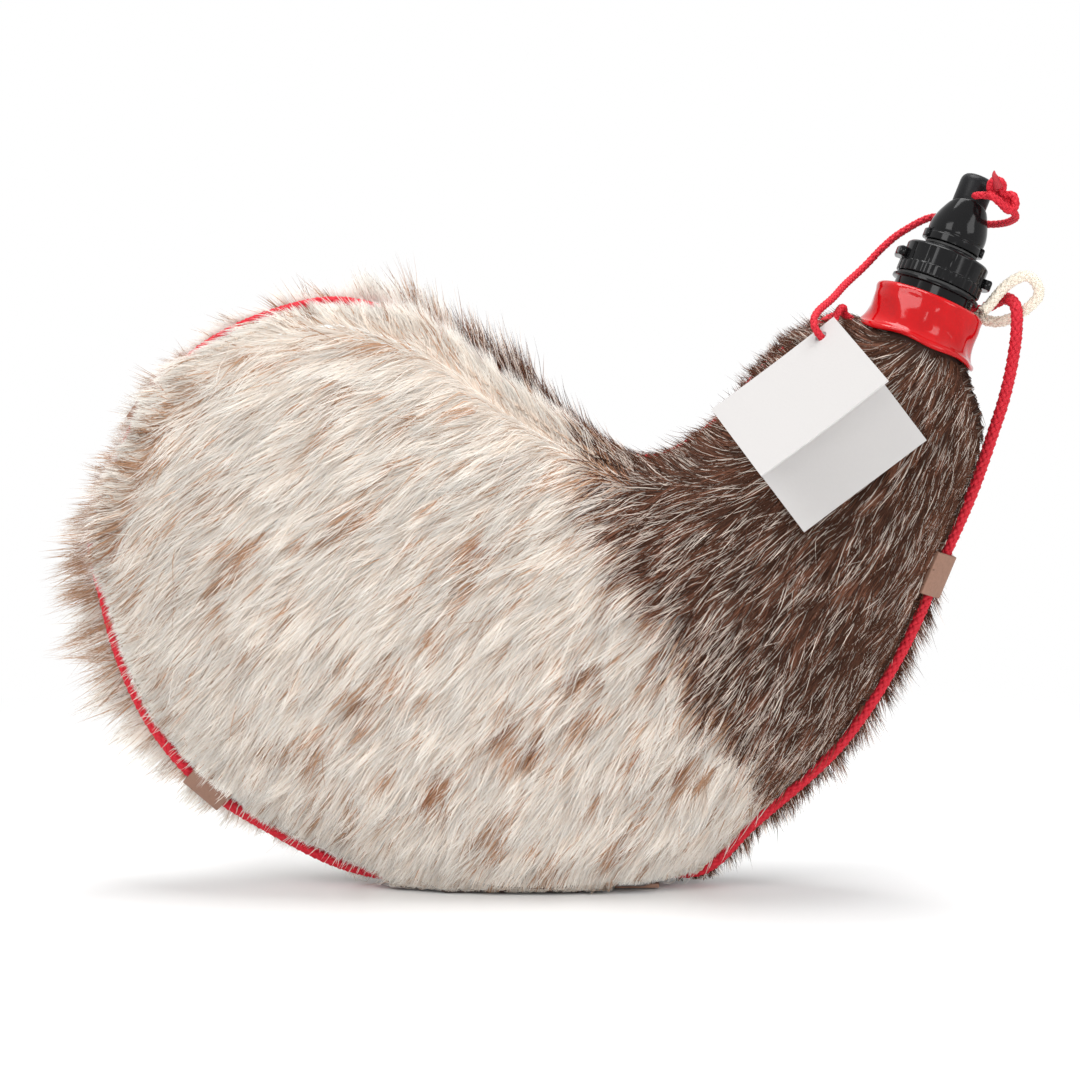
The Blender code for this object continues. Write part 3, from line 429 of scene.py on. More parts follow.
def tube_mesh(name, points, radii, look, around=10):
    """Round tube of changing radius with closed ends."""
    sides, others = path_frames(points)
    turn = np.linspace(0, 2 * math.pi, around, endpoint=False)
    radii = np.broadcast_to(np.asarray(radii, dtype=float), (len(points),))
    ring = (sides[:, None] * np.cos(turn)[None, :, None]
            + others[:, None] * np.sin(turn)[None, :, None])
    rings = points[:, None] + ring * radii[:, None, None]
    corners = grid_corners(len(points), around, close_columns=True)
    thing = mesh_from_arrays(name, rings.reshape(-1, 3), corners, look)
    with edited(thing) as build:
        bmesh.ops.holes_fill(build, edges=[e for e in build.edges if e.is_boundary],
                             sides=around)
        bmesh.ops.recalc_face_normals(build, faces=build.faces[:])
    return thing


def braid_mesh(name, route, radius, look, strands=10, pitch=3.4, per_pitch=12, sides=5):
    """Round braid along a route: strands wind both ways and pass over and under. Gives the
    object, its centreline and its length. The pitch is in radii, and a strand goes once round
    in two of them."""
    half = strands // 2
    step = radius * pitch / per_pitch
    centre, length = smooth_path(route, step)
    across, other = path_frames(centre)
    distance = np.linspace(0, length, len(centre))
    thick = radius * 0.26
    wide = radius * 2.1 / half
    vertices, corners = [], []
    offset = 0
    turn = np.linspace(0, 2 * math.pi, sides, endpoint=False)
    lay = radius * pitch * 2
    base = grid_corners(len(centre), sides, close_columns=True)
    for way in (1, -1):
        for k in range(half):
            angle = way * (2 * math.pi * distance / lay + 2 * math.pi * k / half)
            weave = way * np.cos(half * 2 * math.pi * distance / lay)
            lift = radius - thick * 1.5 + weave * thick * 0.5
            radial = across * np.cos(angle)[:, None] + other * np.sin(angle)[:, None]
            line = centre + radial * lift[:, None]
            along = np.gradient(line, axis=0)
            along /= np.linalg.norm(along, axis=1, keepdims=True)
            flat = np.cross(along, radial)
            ring = (flat[:, None] * (np.cos(turn) * wide)[None, :, None]
                    + radial[:, None] * (np.sin(turn) * thick)[None, :, None])
            vertices.append((line[:, None] + ring).reshape(-1, 3))
            corners.append(base + offset)
            offset += len(centre) * sides
    # The core's material is painted dark: shade seen in the gaps between the strands.
    inside = bpy.data.materials[look.name + "_inside"]
    core = tube_mesh(name + "_core", centre, radius * 0.70, inside, around=8)
    thing = mesh_from_arrays(name, np.concatenate(vertices), np.concatenate(corners), look)
    join(thing, [core])
    return thing, centre, length


def join(thing, others):
    """Other objects' meshes become part of thing."""
    slots = [m.name for m in thing.data.materials]
    with edited(thing) as build:
        for other in others:
            before = len(build.faces)
            build.from_mesh(other.data)
            look = other.data.materials[0]
            if look.name not in slots:
                thing.data.materials.append(look)
                slots.append(look.name)
            build.faces.ensure_lookup_table()
            for face in build.faces[before:]:
                face.material_index = slots.index(look.name)
    for other in others:
        bpy.data.objects.remove(other, do_unlink=True)


def turned(name, profile, look, steps, change=None, start=0.0, sweep=2 * math.pi):
    """Piece turned about the neck's axis from (radius, up) points; change may bend it."""
    full = abs(sweep - 2 * math.pi) < 1e-6
    count = steps if full else steps + 1
    turn = start + np.linspace(0, sweep, count, endpoint=not full)
    profile = np.asarray(profile, dtype=float)
    radius = profile[:, 0][:, None] * np.ones(count)[None]
    up = profile[:, 1][:, None] * np.ones(count)[None]
    turns = np.broadcast_to(turn[None], radius.shape)
    if change:
        radius, up = change(radius, up, turns)
    x, y = radius * np.cos(turns), radius * np.sin(turns)
    points = (neck_base + x[..., None] * neck_right + y[..., None] * neck_back
              + up[..., None] * neck_up)
    corners = grid_corners(len(profile), count, close_rows=True, close_columns=full)
    thing = mesh_from_arrays(name, points.reshape(-1, 3), corners, look)
    with edited(thing) as build:
        bmesh.ops.remove_doubles(build, verts=build.verts[:], dist=2e-6)
        if not full:
            ends = [e for e in build.edges if e.is_boundary]
            bmesh.ops.holes_fill(build, edges=ends, sides=0)
        bmesh.ops.recalc_face_normals(build, faces=build.faces[:])
    shade_faces(thing, True)
    return thing


def rounded(points, radius=0.0003, steps=4):
    """A closed (radius, up) outline with its corners rounded."""
    made = []
    count = len(points)
    points = [np.array(p, dtype=float) for p in points]
    for i, point in enumerate(points):
        before, after = points[i - 1] - point, points[(i + 1) % count] - point
        near = min(radius, np.linalg.norm(before) * 0.45, np.linalg.norm(after) * 0.45)
        if near < 1e-6 or (abs(point[0]) < 1e-6):
            made.append(point)
            continue
        a = point + before / np.linalg.norm(before) * near
        b = point + after / np.linalg.norm(after) * near
        for k in range(steps + 1):
            t = k / steps
            made.append(a * (1 - t) ** 2 + point * 2 * t * (1 - t) + b * t**2)
    return np.array(made)


# Materials
def new_material(name):
    made = bpy.data.materials.new(name)
    made.use_nodes = True
    tree = made.node_tree
    return made, tree, tree.nodes["Principled BSDF"]


def math_node(tree, operation):
    made = tree.nodes.new("ShaderNodeMath")
    made.operation = operation
    return made


def colour_mix(tree, a=None, b=None):
    """Mix of two colours, either of which may be linked later."""
    made = tree.nodes.new("ShaderNodeMix")
    made.data_type = "RGBA"
    for key, colour in (("A", a), ("B", b)):
        if colour is not None:
            made.inputs[key].default_value = (*colour, 1)
    return made


def attribute(tree, name):
    """A number that the mesh holds for each point."""
    made = tree.nodes.new("ShaderNodeAttribute")
    made.attribute_name = name
    return made.outputs["Fac"]


def group_tree(name, inputs, outputs):
    """New shader group with its named sockets, and its input and output nodes."""
    tree = bpy.data.node_groups.new(name, "ShaderNodeTree")
    for label, kind, default in inputs:
        item = tree.interface.new_socket(name=label, in_out="INPUT", socket_type=kind)
        item.default_value = default
    for label, kind in outputs:
        tree.interface.new_socket(name=label, in_out="OUTPUT", socket_type=kind)
    return tree, tree.nodes.new("NodeGroupInput"), tree.nodes.new("NodeGroupOutput")


def use_group(tree, group):
    made = tree.nodes.new("ShaderNodeGroup")
    made.node_tree = group
    return made


def mixed_shaders(tree, first, second, output="Material Output"):
    """Sends a mix of two shaders to the output and gives the socket of the second's share."""
    made = tree.nodes.new("ShaderNodeMixShader")
    tree.links.new(first.outputs[0], made.inputs[1])
    tree.links.new(second.outputs[0], made.inputs[2])
    tree.links.new(made.outputs[0], tree.nodes[output].inputs["Surface"])
    return made.inputs[0]


def strand_group():
    """Tint of one hair from its own tone and the distance along it."""
    name = "Strand tint"
    if name in bpy.data.node_groups:
        return bpy.data.node_groups[name]
    tree, start, end = group_tree(
        name, (("Root", "NodeSocketColor", (1, 1, 1, 1)), ("Tip", "NodeSocketColor", (1, 1, 1, 1)),
               ("Spread", "NodeSocketFloat", 0.4)), (("Color", "NodeSocketColor"),))
    tone, along = attribute(tree, "tone"), attribute(tree, "along")
    mix = colour_mix(tree)
    tree.links.new(along, mix.inputs["Factor"])
    tree.links.new(start.outputs["Root"], mix.inputs["A"])
    tree.links.new(start.outputs["Tip"], mix.inputs["B"])
    centred = math_node(tree, "SUBTRACT")
    centred.inputs[1].default_value = 0.5
    tree.links.new(tone, centred.inputs[0])
    scaled = math_node(tree, "MULTIPLY_ADD")
    scaled.inputs[2].default_value = 1.0
    tree.links.new(centred.outputs[0], scaled.inputs[0])
    tree.links.new(start.outputs["Spread"], scaled.inputs[1])
    shade = tree.nodes.new("ShaderNodeVectorMath")
    shade.operation = "SCALE"
    tree.links.new(mix.outputs["Result"], shade.inputs[0])
    tree.links.new(scaled.outputs[0], shade.inputs["Scale"])
    tree.links.new(shade.outputs[0], end.inputs["Color"])
    return tree


def grain_group():
    """Fine two-scale noise: a mask to vary colour or gloss and a bumped normal."""
    name = "Fine grain"
    if name in bpy.data.node_groups:
        return bpy.data.node_groups[name]
    tree, start, end = group_tree(
        name, (("Scale", "NodeSocketFloat", 400.0), ("Depth", "NodeSocketFloat", 0.3)),
        (("Mask", "NodeSocketFloat"), ("Normal", "NodeSocketVector")))
    place = tree.nodes.new("ShaderNodeTexCoord")
    noise = tree.nodes.new("ShaderNodeTexNoise")
    noise.inputs["Detail"].default_value = 5.0
    noise.inputs["Roughness"].default_value = 0.6
    bump = tree.nodes.new("ShaderNodeBump")
    bump.inputs["Distance"].default_value = 0.0003
    tree.links.new(place.outputs["Object"], noise.inputs["Vector"])
    tree.links.new(start.outputs["Scale"], noise.inputs["Scale"])
    tree.links.new(start.outputs["Depth"], bump.inputs["Strength"])
    tree.links.new(noise.outputs["Fac"], bump.inputs["Height"])
    tree.links.new(noise.outputs["Fac"], end.inputs["Mask"])
    tree.links.new(bump.outputs["Normal"], end.inputs["Normal"])
    return tree


def seen_rays(tree):
    """1 for camera, glossy and transmission rays, which see the backdrop white."""
    path = tree.nodes.new("ShaderNodeLightPath")
    value = path.outputs["Is Camera Ray"]
    for name in ("Is Glossy Ray", "Is Transmission Ray"):
        more = math_node(tree, "MAXIMUM")
        tree.links.new(value, more.inputs[0])
        tree.links.new(path.outputs[name], more.inputs[1])
        value = more.outputs[0]
    return value


def hair_material(name, root, tip, spread, roughness=0.5, through_share=0.35):
    """Hair from its root's colour to its tip's, which lets some light through."""
    made, tree, shader = new_material(name)
    group = use_group(tree, strand_group())
    group.inputs["Root"].default_value = (*root, 1)
    group.inputs["Tip"].default_value = (*tip, 1)
    group.inputs["Spread"].default_value = spread
    tree.links.new(group.outputs["Color"], shader.inputs["Base Color"])
    shader.inputs["Roughness"].default_value = roughness
    shader.inputs["Specular IOR Level"].default_value = 0.17
    shader.inputs["Specular Tint"].default_value = (1.0, 0.84, 0.70, 1)
    through = tree.nodes.new("ShaderNodeBsdfTranslucent")
    tree.links.new(group.outputs["Color"], through.inputs["Color"])
    mixed_shaders(tree, shader, through).default_value = through_share
    return made


def use_grain(tree, shader, scale, depth):
    """Bumps a shader with fine grain and gives the grain's mask."""
    group = use_group(tree, grain_group())
    group.inputs["Scale"].default_value = scale
    group.inputs["Depth"].default_value = depth
    tree.links.new(group.outputs["Normal"], shader.inputs["Normal"])
    return group.outputs["Mask"]


def grain_material(name, colour, roughness, scale=400.0, depth=0.3, vary=0.15, **more):
    """Shaded surface whose colour varies a little with fine grain."""
    made, tree, shader = new_material(name)
    varied = colour_mix(tree, [c * (1 - vary) for c in colour],
                        [min(c * (1 + vary), 1.0) for c in colour])
    tree.links.new(use_grain(tree, shader, scale, depth), varied.inputs["Factor"])
    tree.links.new(varied.outputs["Result"], shader.inputs["Base Color"])
    shader.inputs["Roughness"].default_value = roughness
    for key, value in more.items():
        shader.inputs[key.replace("_", " ")].default_value = value
    return made


# Hide surface seen from one side
def solid_tree(node_name):
    """A CAD solid's faces, ready for rays."""
    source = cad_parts[node_name]
    points = [source.matrix_world @ v.co for v in source.data.vertices]
    return BVHTree.FromPolygons(points, [tuple(p.vertices) for p in source.data.polygons])


class Panel:
    """Height of one hide panel over the seam plane on a grid, with its distance past the seam.
    All in millimetres. Side is -1 at the front and 1 at the back."""
    step = 1.0
    grid_x, grid_z = (-200.0, 200.0), (-30.0, 280.0)
    hide_x, hide_z = (-158, 152), (-1, 210)
    fringe_x, fringe_z = (-190, 185), (-25, 250)
    far = 60.0
    # The cord beside the seam: its middle past the seam, half its width with room, and its height
    cord_past, cord_half, cord_height, cord_end = 3.0, 3.4, 3.2, 7

    def __init__(self, node_name, side):
        self.side = side
        tree = solid_tree(node_name)
        self.xs = np.arange(*self.grid_x, self.step)
        self.zs = np.arange(*self.grid_z, self.step)
        self.height = np.zeros((len(self.xs), len(self.zs)))
        inside = np.zeros(self.height.shape, dtype=bool)
        for i, x in enumerate(self.xs):
            for j, z in enumerate(self.zs):
                if not (self.hide_x[0] < x < self.hide_x[1]
                        and self.hide_z[0] < z < self.hide_z[1]):
                    continue
                top = self.top(tree, x, z)
                if top is not None:
                    self.height[i, j] = top
                    inside[i, j] = True
        self.inside = inside
        self.past = self.signed(inside)
        ring = np.clip(1 - np.abs(self.past - self.cord_past) / self.cord_half, 0, 1)
        ring = ring ** 0.5 * self.cord_height
        self.clear = np.where(inside, self.height, np.where(self.past < self.cord_end, ring, 0))
        self.cover("tab_upper_left")
        self.cover("tab_lower_left")
        self.soft = self.blur(self.height, 4.0)
        self.slope_x, self.slope_z = np.gradient(self.soft, self.step)
        self.true_x, self.true_z = np.gradient(self.height, self.step)
        self.out_x, self.out_z = np.gradient(self.past, self.step)

    def top(self, tree, x, z):
        """How far a solid rises from the seam's plane at a place, or None beside it."""
        away = 0.2
        place = Vector((x * MM, self.side * away, z * MM))
        hit = tree.ray_cast(place, Vector((0.0, -float(self.side), 0.0)), away)[0]
        return None if hit is None else abs(hit.y) / MM

    def signed(self, inside):
        """Distance past the seam, negative inside."""
        edge = inside & ~(np.roll(inside, 1, 0) & np.roll(inside, -1, 0)
                          & np.roll(inside, 1, 1) & np.roll(inside, -1, 1))
        rows, columns = np.nonzero(edge)
        tree = kdtree.KDTree(len(rows))
        for n, (i, j) in enumerate(zip(rows, columns)):
            tree.insert((self.xs[i], self.zs[j], 0.0), n)
        tree.balance()
        made = np.full(inside.shape, self.far)
        for i, x in enumerate(self.xs):
            for j, z in enumerate(self.zs):
                if (self.fringe_x[0] < x < self.fringe_x[1]
                        and self.fringe_z[0] < z < self.fringe_z[1]):
                    made[i, j] = tree.find((x, z, 0.0))[2]
        return np.where(inside, -made, made)

    def cover(self, node_name):
        """Hair passes over this piece too."""
        tree, gap = solid_tree(node_name), 0.9
        low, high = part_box(node_name)
        for i in np.nonzero((self.xs > low[0] / MM - 1) & (self.xs < high[0] / MM + 1))[0]:
            for j in np.nonzero((self.zs > low[2] / MM - 1) & (self.zs < high[2] / MM + 1))[0]:
                top = self.top(tree, self.xs[i], self.zs[j])
                if top is not None:
                    self.clear[i, j] = max(self.clear[i, j], top + gap)

    @staticmethod
    def blur(values, width):
        """Grid smoothed both ways by a bell curve of that width."""
        reach = np.arange(-int(3 * width), int(3 * width) + 1)
        kernel = np.exp(-(reach / width) ** 2 / 2)
        kernel /= kernel.sum()
        values = np.apply_along_axis(lambda line: np.convolve(line, kernel, "same"), 0, values)
        return np.apply_along_axis(lambda line: np.convolve(line, kernel, "same"), 1, values)

    def read(self, table, x, z):
        """Value of a grid at places in millimetres."""
        u = np.clip((x - self.xs[0]) / self.step, 0, len(self.xs) - 1.001)
        v = np.clip((z - self.zs[0]) / self.step, 0, len(self.zs) - 1.001)
        i, j = u.astype(int), v.astype(int)
        s, t = u - i, v - j
        return (table[i, j] * (1 - s) * (1 - t) + table[i + 1, j] * s * (1 - t)
                + table[i, j + 1] * (1 - s) * t + table[i + 1, j + 1] * s * t)


def ramp(values, low, high):
    """Share of the way from low to high, which may be the smaller, kept from 0 to 1."""
    return np.clip((values - low) / (high - low), 0, 1)


def table_weights(table, x, z, power):
    """How much each of a table's listed points counts at each place."""
    distance = np.hypot(x[:, None] - table[None, :, 0], z[:, None] - table[None, :, 1])
    return 1.0 / np.maximum(distance, 1.0) ** power


def spread_value(table, x, z, power=3.0):
    """Value at places between a table's points."""
    table = np.asarray(table, dtype=float)
    weights = table_weights(table, x, z, power)
    return (weights * table[None, :, 2]).sum(axis=1) / weights.sum(axis=1)


def spread_angle(table, x, z):
    """Direction in radians at places between a table's points, which hold degrees."""
    table = np.asarray(table, dtype=float)
    turn = np.radians(table[:, 2])
    weights = table_weights(table, x, z, 3)
    return np.arctan2((weights * np.sin(turn)).sum(axis=1), (weights * np.cos(turn)).sum(axis=1))


def waves(x, z, size, seed):
    """Smooth noise between about -1 and 1."""
    rng = np.random.default_rng(seed)
    total = np.zeros_like(x)
    trains, about_highest = 7, 3.2
    for _ in range(trains):
        angle, phase = rng.uniform(0, 2 * math.pi, 2)
        pull = rng.uniform(0.7, 1.6) * 2 * math.pi / size
        total += np.sin((x * math.cos(angle) + z * math.sin(angle)) * pull + phase)
    return total / about_highest


def border_x(table, z):
    """Where dark hair begins at each height."""
    table = np.asarray(table, dtype=float)
    return np.interp(z, table[:, 0], table[:, 1])


class Coat:
    """Hair of one panel: roots, paths and kinds, all in millimetres."""
    # Where along a hair its points lie, as shares of its length
    marks = np.array((0.0, 0.07, 0.27, 0.52, 0.77, 1.0))
    segments = len(marks) - 1
    roots_x, roots_z = (-160, 155), (0, 212)
    tries = 18
    steepest = 3.5
    per_clump = 16
    left_end = -177.0

    def __init__(self, panel, flow, spill, reach, lengths, count, seed):
        self.panel, self.flow, self.spill = panel, flow, spill
        rng = np.random.default_rng(seed)
        self.rng = rng
        x = rng.uniform(*self.roots_x, count * self.tries)
        z = rng.uniform(*self.roots_z, count * self.tries)
        keep = panel.read(panel.inside.astype(float), x, z) > 0.99
        # Denser by the seam, and as dense on steep hide as on flat
        near = ramp(panel.read(panel.past, x, z), -9, -2)
        keep &= rng.uniform(0, 1, len(x)) < 0.45 + 0.55 * near
        steep = np.sqrt(1 + panel.read(panel.true_x, x, z) ** 2
                        + panel.read(panel.true_z, x, z) ** 2)
        keep &= rng.uniform(0, 1, len(x)) < np.minimum(steep, self.steepest) / self.steepest
        place = np.stack((x, panel.side * panel.read(panel.height, x, z), z), axis=1) * MM
        local = place - neck_base
        up, out = local @ neck_up, np.hypot(local @ neck_right, local @ neck_back)
        # None under the collar, and more of it just below
        keep &= ~((up > 0.0003) & (out < 0.030)) & ~((up > -0.004) & (out < 0.0190))
        dense = (out < 0.034) & (up > -0.016)
        keep &= dense | (rng.uniform(0, 1, len(x)) < 0.6)
        x, z = x[keep][:count], z[keep][:count]
        self.x, self.z, self.count = x, z, len(x)
        base = spread_value(lengths, x, z)
        self.length = base * rng.normal(1.0, 0.15, len(x)).clip(0.55, 1.5)
        self.clumps()
        self.paths = self.grow()
        self.trim(reach)

    def clumps(self):
        """Each hair joins the nearest of a few leading hairs, and gets its own small ways."""
        rng = self.rng
        leaders = rng.choice(self.count, self.count // self.per_clump, replace=False)
        tree = kdtree.KDTree(len(leaders))
        for n in leaders:
            tree.insert((self.x[n], self.z[n], 0.0), int(n))
        tree.balance()
        self.leader = np.array([tree.find((a, b, 0.0))[1] for a, b in zip(self.x, self.z)])
        swing = rng.normal(0, 1, self.count)
        broad = waves(self.x, self.z, 26.0, 5)
        big = np.where(rng.uniform(0, 1, self.count) < 0.06, 3.0, 1.0)
        self.turn = np.radians(swing[self.leader] * 6.5 + rng.normal(0, 4.6, self.count) * big
                               + broad * 6)
        lift = rng.normal(0, 1, self.count)
        self.lift = (0.6 * lift[self.leader] + 0.4 * rng.normal(0, 1, self.count)).clip(-1.6, 2.4)
        self.pull = rng.uniform(0.32, 0.9, self.count)
        self.layer = rng.uniform(0, 1, self.count) ** 1.5
        self.tone = rng.uniform(0, 1, self.count)

    def grow(self):
        """Path of each hair: it follows the flow over the hide, turns to the rim's own way near
        the seam, arches up and draws to its leader."""
        panel, side = self.panel, self.panel.side
        x, z = self.x.copy(), self.z.copy()
        lead_x, lead_z = self.x[self.leader] - x, self.z[self.leader] - z
        phase = self.rng.uniform(0, 2 * math.pi, self.count)
        sunk = 0.3
        points = [np.stack((x, side * (panel.read(panel.height, x, z) - sunk), z), axis=1)]
        rim, wall = self.rim_roots(x, z)
        depth_now = None
        share = np.clip(spread_value(self.spill, x, z, 4.0), 0, 1) if self.spill else 1.0
        band = 8.0 if side < 0 else 12.0
        steepest = 1.2
        for k in range(1, self.segments + 1):
            t = self.marks[k]
            stride = self.length * (t - self.marks[k - 1])
            past = panel.read(panel.past, x, z)
            over = ramp(past, -band, -1.0) ** 0.7 * share
            inner, outer = spread_angle(self.flow, x, z), spread_angle(rim_flow, x, z)
            dx = np.cos(inner) * (1 - over) + np.cos(outer) * over
            dz = np.sin(inner) * (1 - over) + np.sin(outer) * over
            angle = np.arctan2(dz, dx) + self.turn + 0.09 * np.sin(phase + t * 4.0)
            dx, dz = np.cos(angle), np.sin(angle)
            rise = panel.read(panel.slope_x, x, z) * dx + panel.read(panel.slope_z, x, z) * dz
            rise = np.clip(rise, -steepest, steepest)
            pace = stride / np.sqrt(1 + rise**2)
            x, z = x + dx * pace, z + dz * pace
            draw = self.pull * t**1.6 * 0.9
            gather_x, gather_z = lead_x * draw, lead_z * draw
            sx, sz = panel.read(panel.slope_x, x, z), panel.read(panel.slope_z, x, z)
            norm = np.sqrt(1 + sx**2 + sz**2)
            arch = 0.16 + 0.05 * self.lift
            height = self.length * (arch * math.sin(min(t * 1.5, 1.0) * math.pi / 2)
                                    + (0.03 + 0.035 * self.lift) * t**2)
            height = height * (0.45 + 0.75 * self.layer)
            px = x + gather_x - sx / norm * height
            pz = z + gather_z - sz / norm * height
            py = panel.read(panel.soft, px, pz) + height / norm
            floor = panel.read(panel.clear, px, pz) + 0.25 + 1.1 * self.layer * t
            py = np.maximum(py, floor)
            if depth_now is not None:
                py = np.maximum(py, depth_now - stride * 0.75)
            depth_now = py
            # Hair that would touch the ground turns outwards above it
            low = 0.3 + 2.4 * (0.6 * self.tone[self.leader] + 0.4 * self.layer)
            low = np.maximum(low - pz, 0)
            pz, py = pz + low, py + low * 0.6
            points.append(np.stack((px, side * py, pz), axis=1))
        points[0][rim], points[1][rim] = wall
        return np.stack(points, axis=1)

    def rim_roots(self, x, z):
        """Hairs by the seam rise from the panel's upright rim: which, and their first points."""
        panel = self.panel
        past = panel.read(panel.past, x, z)
        rim = (past > -1.8) & (self.rng.uniform(0, 1, self.count) < 0.75) & (z > 3.0)
        x, z, past = x[rim], z[rim], past[rim]
        out_x = panel.read(panel.out_x, x, z)
        out_z = panel.read(panel.out_z, x, z)
        out = np.maximum(np.hypot(out_x, out_z), 0.3)
        shift = 0.25 - past
        x, z = x + out_x / out * shift, z + out_z / out * shift
        height = panel.read(panel.height, self.x[rim], self.z[rim])
        low = height * self.rng.uniform(0.05, 0.8, len(x))
        shift = self.rng.uniform(0.1, 0.5, len(x))
        first = np.stack((x, panel.side * low, z), axis=1)
        angle = spread_angle(self.flow, x, z)
        slide = 2.2 * (np.sin(angle) * out_x - np.cos(angle) * out_z) / out
        second = np.stack((x + (out_x * shift - out_z * slide) / out,
                           panel.side * (height + 0.4),
                           z + (out_z * shift + out_x * slide) / out), axis=1)
        return rim, (first, second)

    def trim(self, reach):
        """Hair ends where it would pass too far over the seam."""
        panel = self.panel
        x, z = self.paths[..., 0], self.paths[..., 2]
        past = panel.read(panel.past, x.ravel(), z.ravel()).reshape(x.shape)
        end_x, end_z = x[:, -1], z[:, -1]
        room = spread_value(reach, end_x, end_z, 4.0)
        lock = self.rng.uniform(0.4, 1.12, self.count)
        room = room * (0.65 * lock[self.leader] + 0.35 * lock)
        tufts = 1 + (0.26 if panel.side > 0 else 0.12) * waves(end_x, end_z, 17.0, 27)
        room = np.where(room > 3.0, room * tufts.clip(0.55, 1.5), room)
        wild = (self.rng.uniform(0, 1, self.count) < 0.03) * self.rng.uniform(1, 6, self.count)
        room = room + self.rng.normal(0, 0.4, self.count) + wild
        past = np.maximum(past, room[:, None] + self.left_end - x)
        if panel.side < 0:
            # The bottom tab stays free
            low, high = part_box("tab_bottom")
            about = (x > low[0] / MM - 1.0) & (x < high[0] / MM + 1.0) & (z < 3.0)
            past = np.where(about, np.maximum(past, room[:, None] + 3.0 - z), past)
        over = past > room[:, None]
        self.share = np.ones(self.count)
        for k in range(self.segments, 0, -1):
            cut = over[:, k]
            inner, outer = past[:, k - 1], past[:, k]
            t = np.clip((room - inner) / np.maximum(outer - inner, 1e-6), 0, 1)
            self.share[cut] = (self.marks[k - 1] + t * (self.marks[k] - self.marks[k - 1]))[cut]
        at = np.interp(self.share[:, None] * self.marks[None], self.marks,
                       np.arange(self.segments + 1))
        low = np.minimum(at.astype(int), self.segments - 1)
        part = (at - low)[..., None]
        rows = np.arange(self.count)[:, None]
        self.paths = self.paths[rows, low] * (1 - part) + self.paths[rows, low + 1] * part
        self.keep = self.share > 0.3

    def clear_tag(self):
        """Hair under the card is pressed flat behind it."""
        points = self.paths * MM - tag_corner
        along, down = points @ tag_along, points @ tag_down
        beyond, gap = 0.003, 1.2
        under = (along > -beyond) & (along < tag_side + beyond) & (down > -0.002)
        under &= down < tag_side + beyond
        limit = (tag_corner[1] + tag_down[1] * down) / MM + gap
        y = self.paths[..., 1]
        self.paths[..., 1] = np.where(under & (y < limit), limit, y)

    def strands(self, name, chosen, width, look):
        """Flat tapered ribbons of the chosen hairs, as one mesh in metres."""
        chosen = np.nonzero(chosen & self.keep)[0]
        paths = self.paths[chosen] * MM
        count, steps = len(chosen), self.segments
        rng = np.random.default_rng(len(name) * 7 + count)
        tangents = np.gradient(paths, axis=1)
        tangents /= np.maximum(np.linalg.norm(tangents, axis=2, keepdims=True), 1e-9)
        roll = rng.normal(0, 0.7, count)
        facing = np.zeros((count, 3))
        facing[:, 1] = self.panel.side
        facing[:, 0], facing[:, 2] = np.sin(roll) * 0.6, np.cos(roll) * 0.4
        across = np.cross(tangents, facing[:, None])
        across /= np.maximum(np.linalg.norm(across, axis=2, keepdims=True), 1e-9)
        at = self.marks
        shape = (0.8 + 0.5 * np.sin(at * math.pi)) * (1 - at**2.6)
        grey_and_glint_width = 0.95
        size = width * rng.uniform(0.6, 1.25, count) * (grey_and_glint_width if "grey" in name else 1.0)
        half = across * (size[:, None] * shape[None] / 2)[..., None]
        left, right = paths - half, paths[:, :-1] + half[:, :-1]
        vertices = np.concatenate((left, right), axis=1)
        per = 2 * steps + 1
        k = np.arange(steps - 1)
        a, b = k, k + 1
        c, d = steps + 1 + k + 1, steps + 1 + k
        one = np.concatenate((np.stack((a, b, c), 1), np.stack((a, c, d), 1),
                              [[steps - 1, steps, 2 * steps]]))
        corners = (one[None] + (np.arange(count) * per)[:, None, None]).reshape(-1, 3)
        thing = mesh_from_arrays(name, vertices.reshape(-1, 3), corners, look, smooth=False)
        along = np.concatenate((at, at[:-1]))
        point_value(thing, "along", np.tile(along, count))
        tone = self.tone[self.leader[chosen]] * 0.6 + rng.uniform(0, 1, count) * 0.4
        point_value(thing, "tone", np.repeat(tone, per))
        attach(thing, "bag")


def fleck_amount(x, z):
    """How brown a hair is from the flecks about it."""
    made = np.zeros(len(x))
    for cx, cz, long, wide, brown in flecks:
        turn = spread_angle(front_flow, np.array([float(cx)]), np.array([float(cz)]))[0]
        dx, dz = x - cx, z - cz
        u = dx * math.cos(turn) + dz * math.sin(turn)
        v = -dx * math.sin(turn) + dz * math.cos(turn)
        made = np.maximum(made, brown * np.exp(-((u / long) ** 2 + (v / wide) ** 2) * 0.9))
    return made


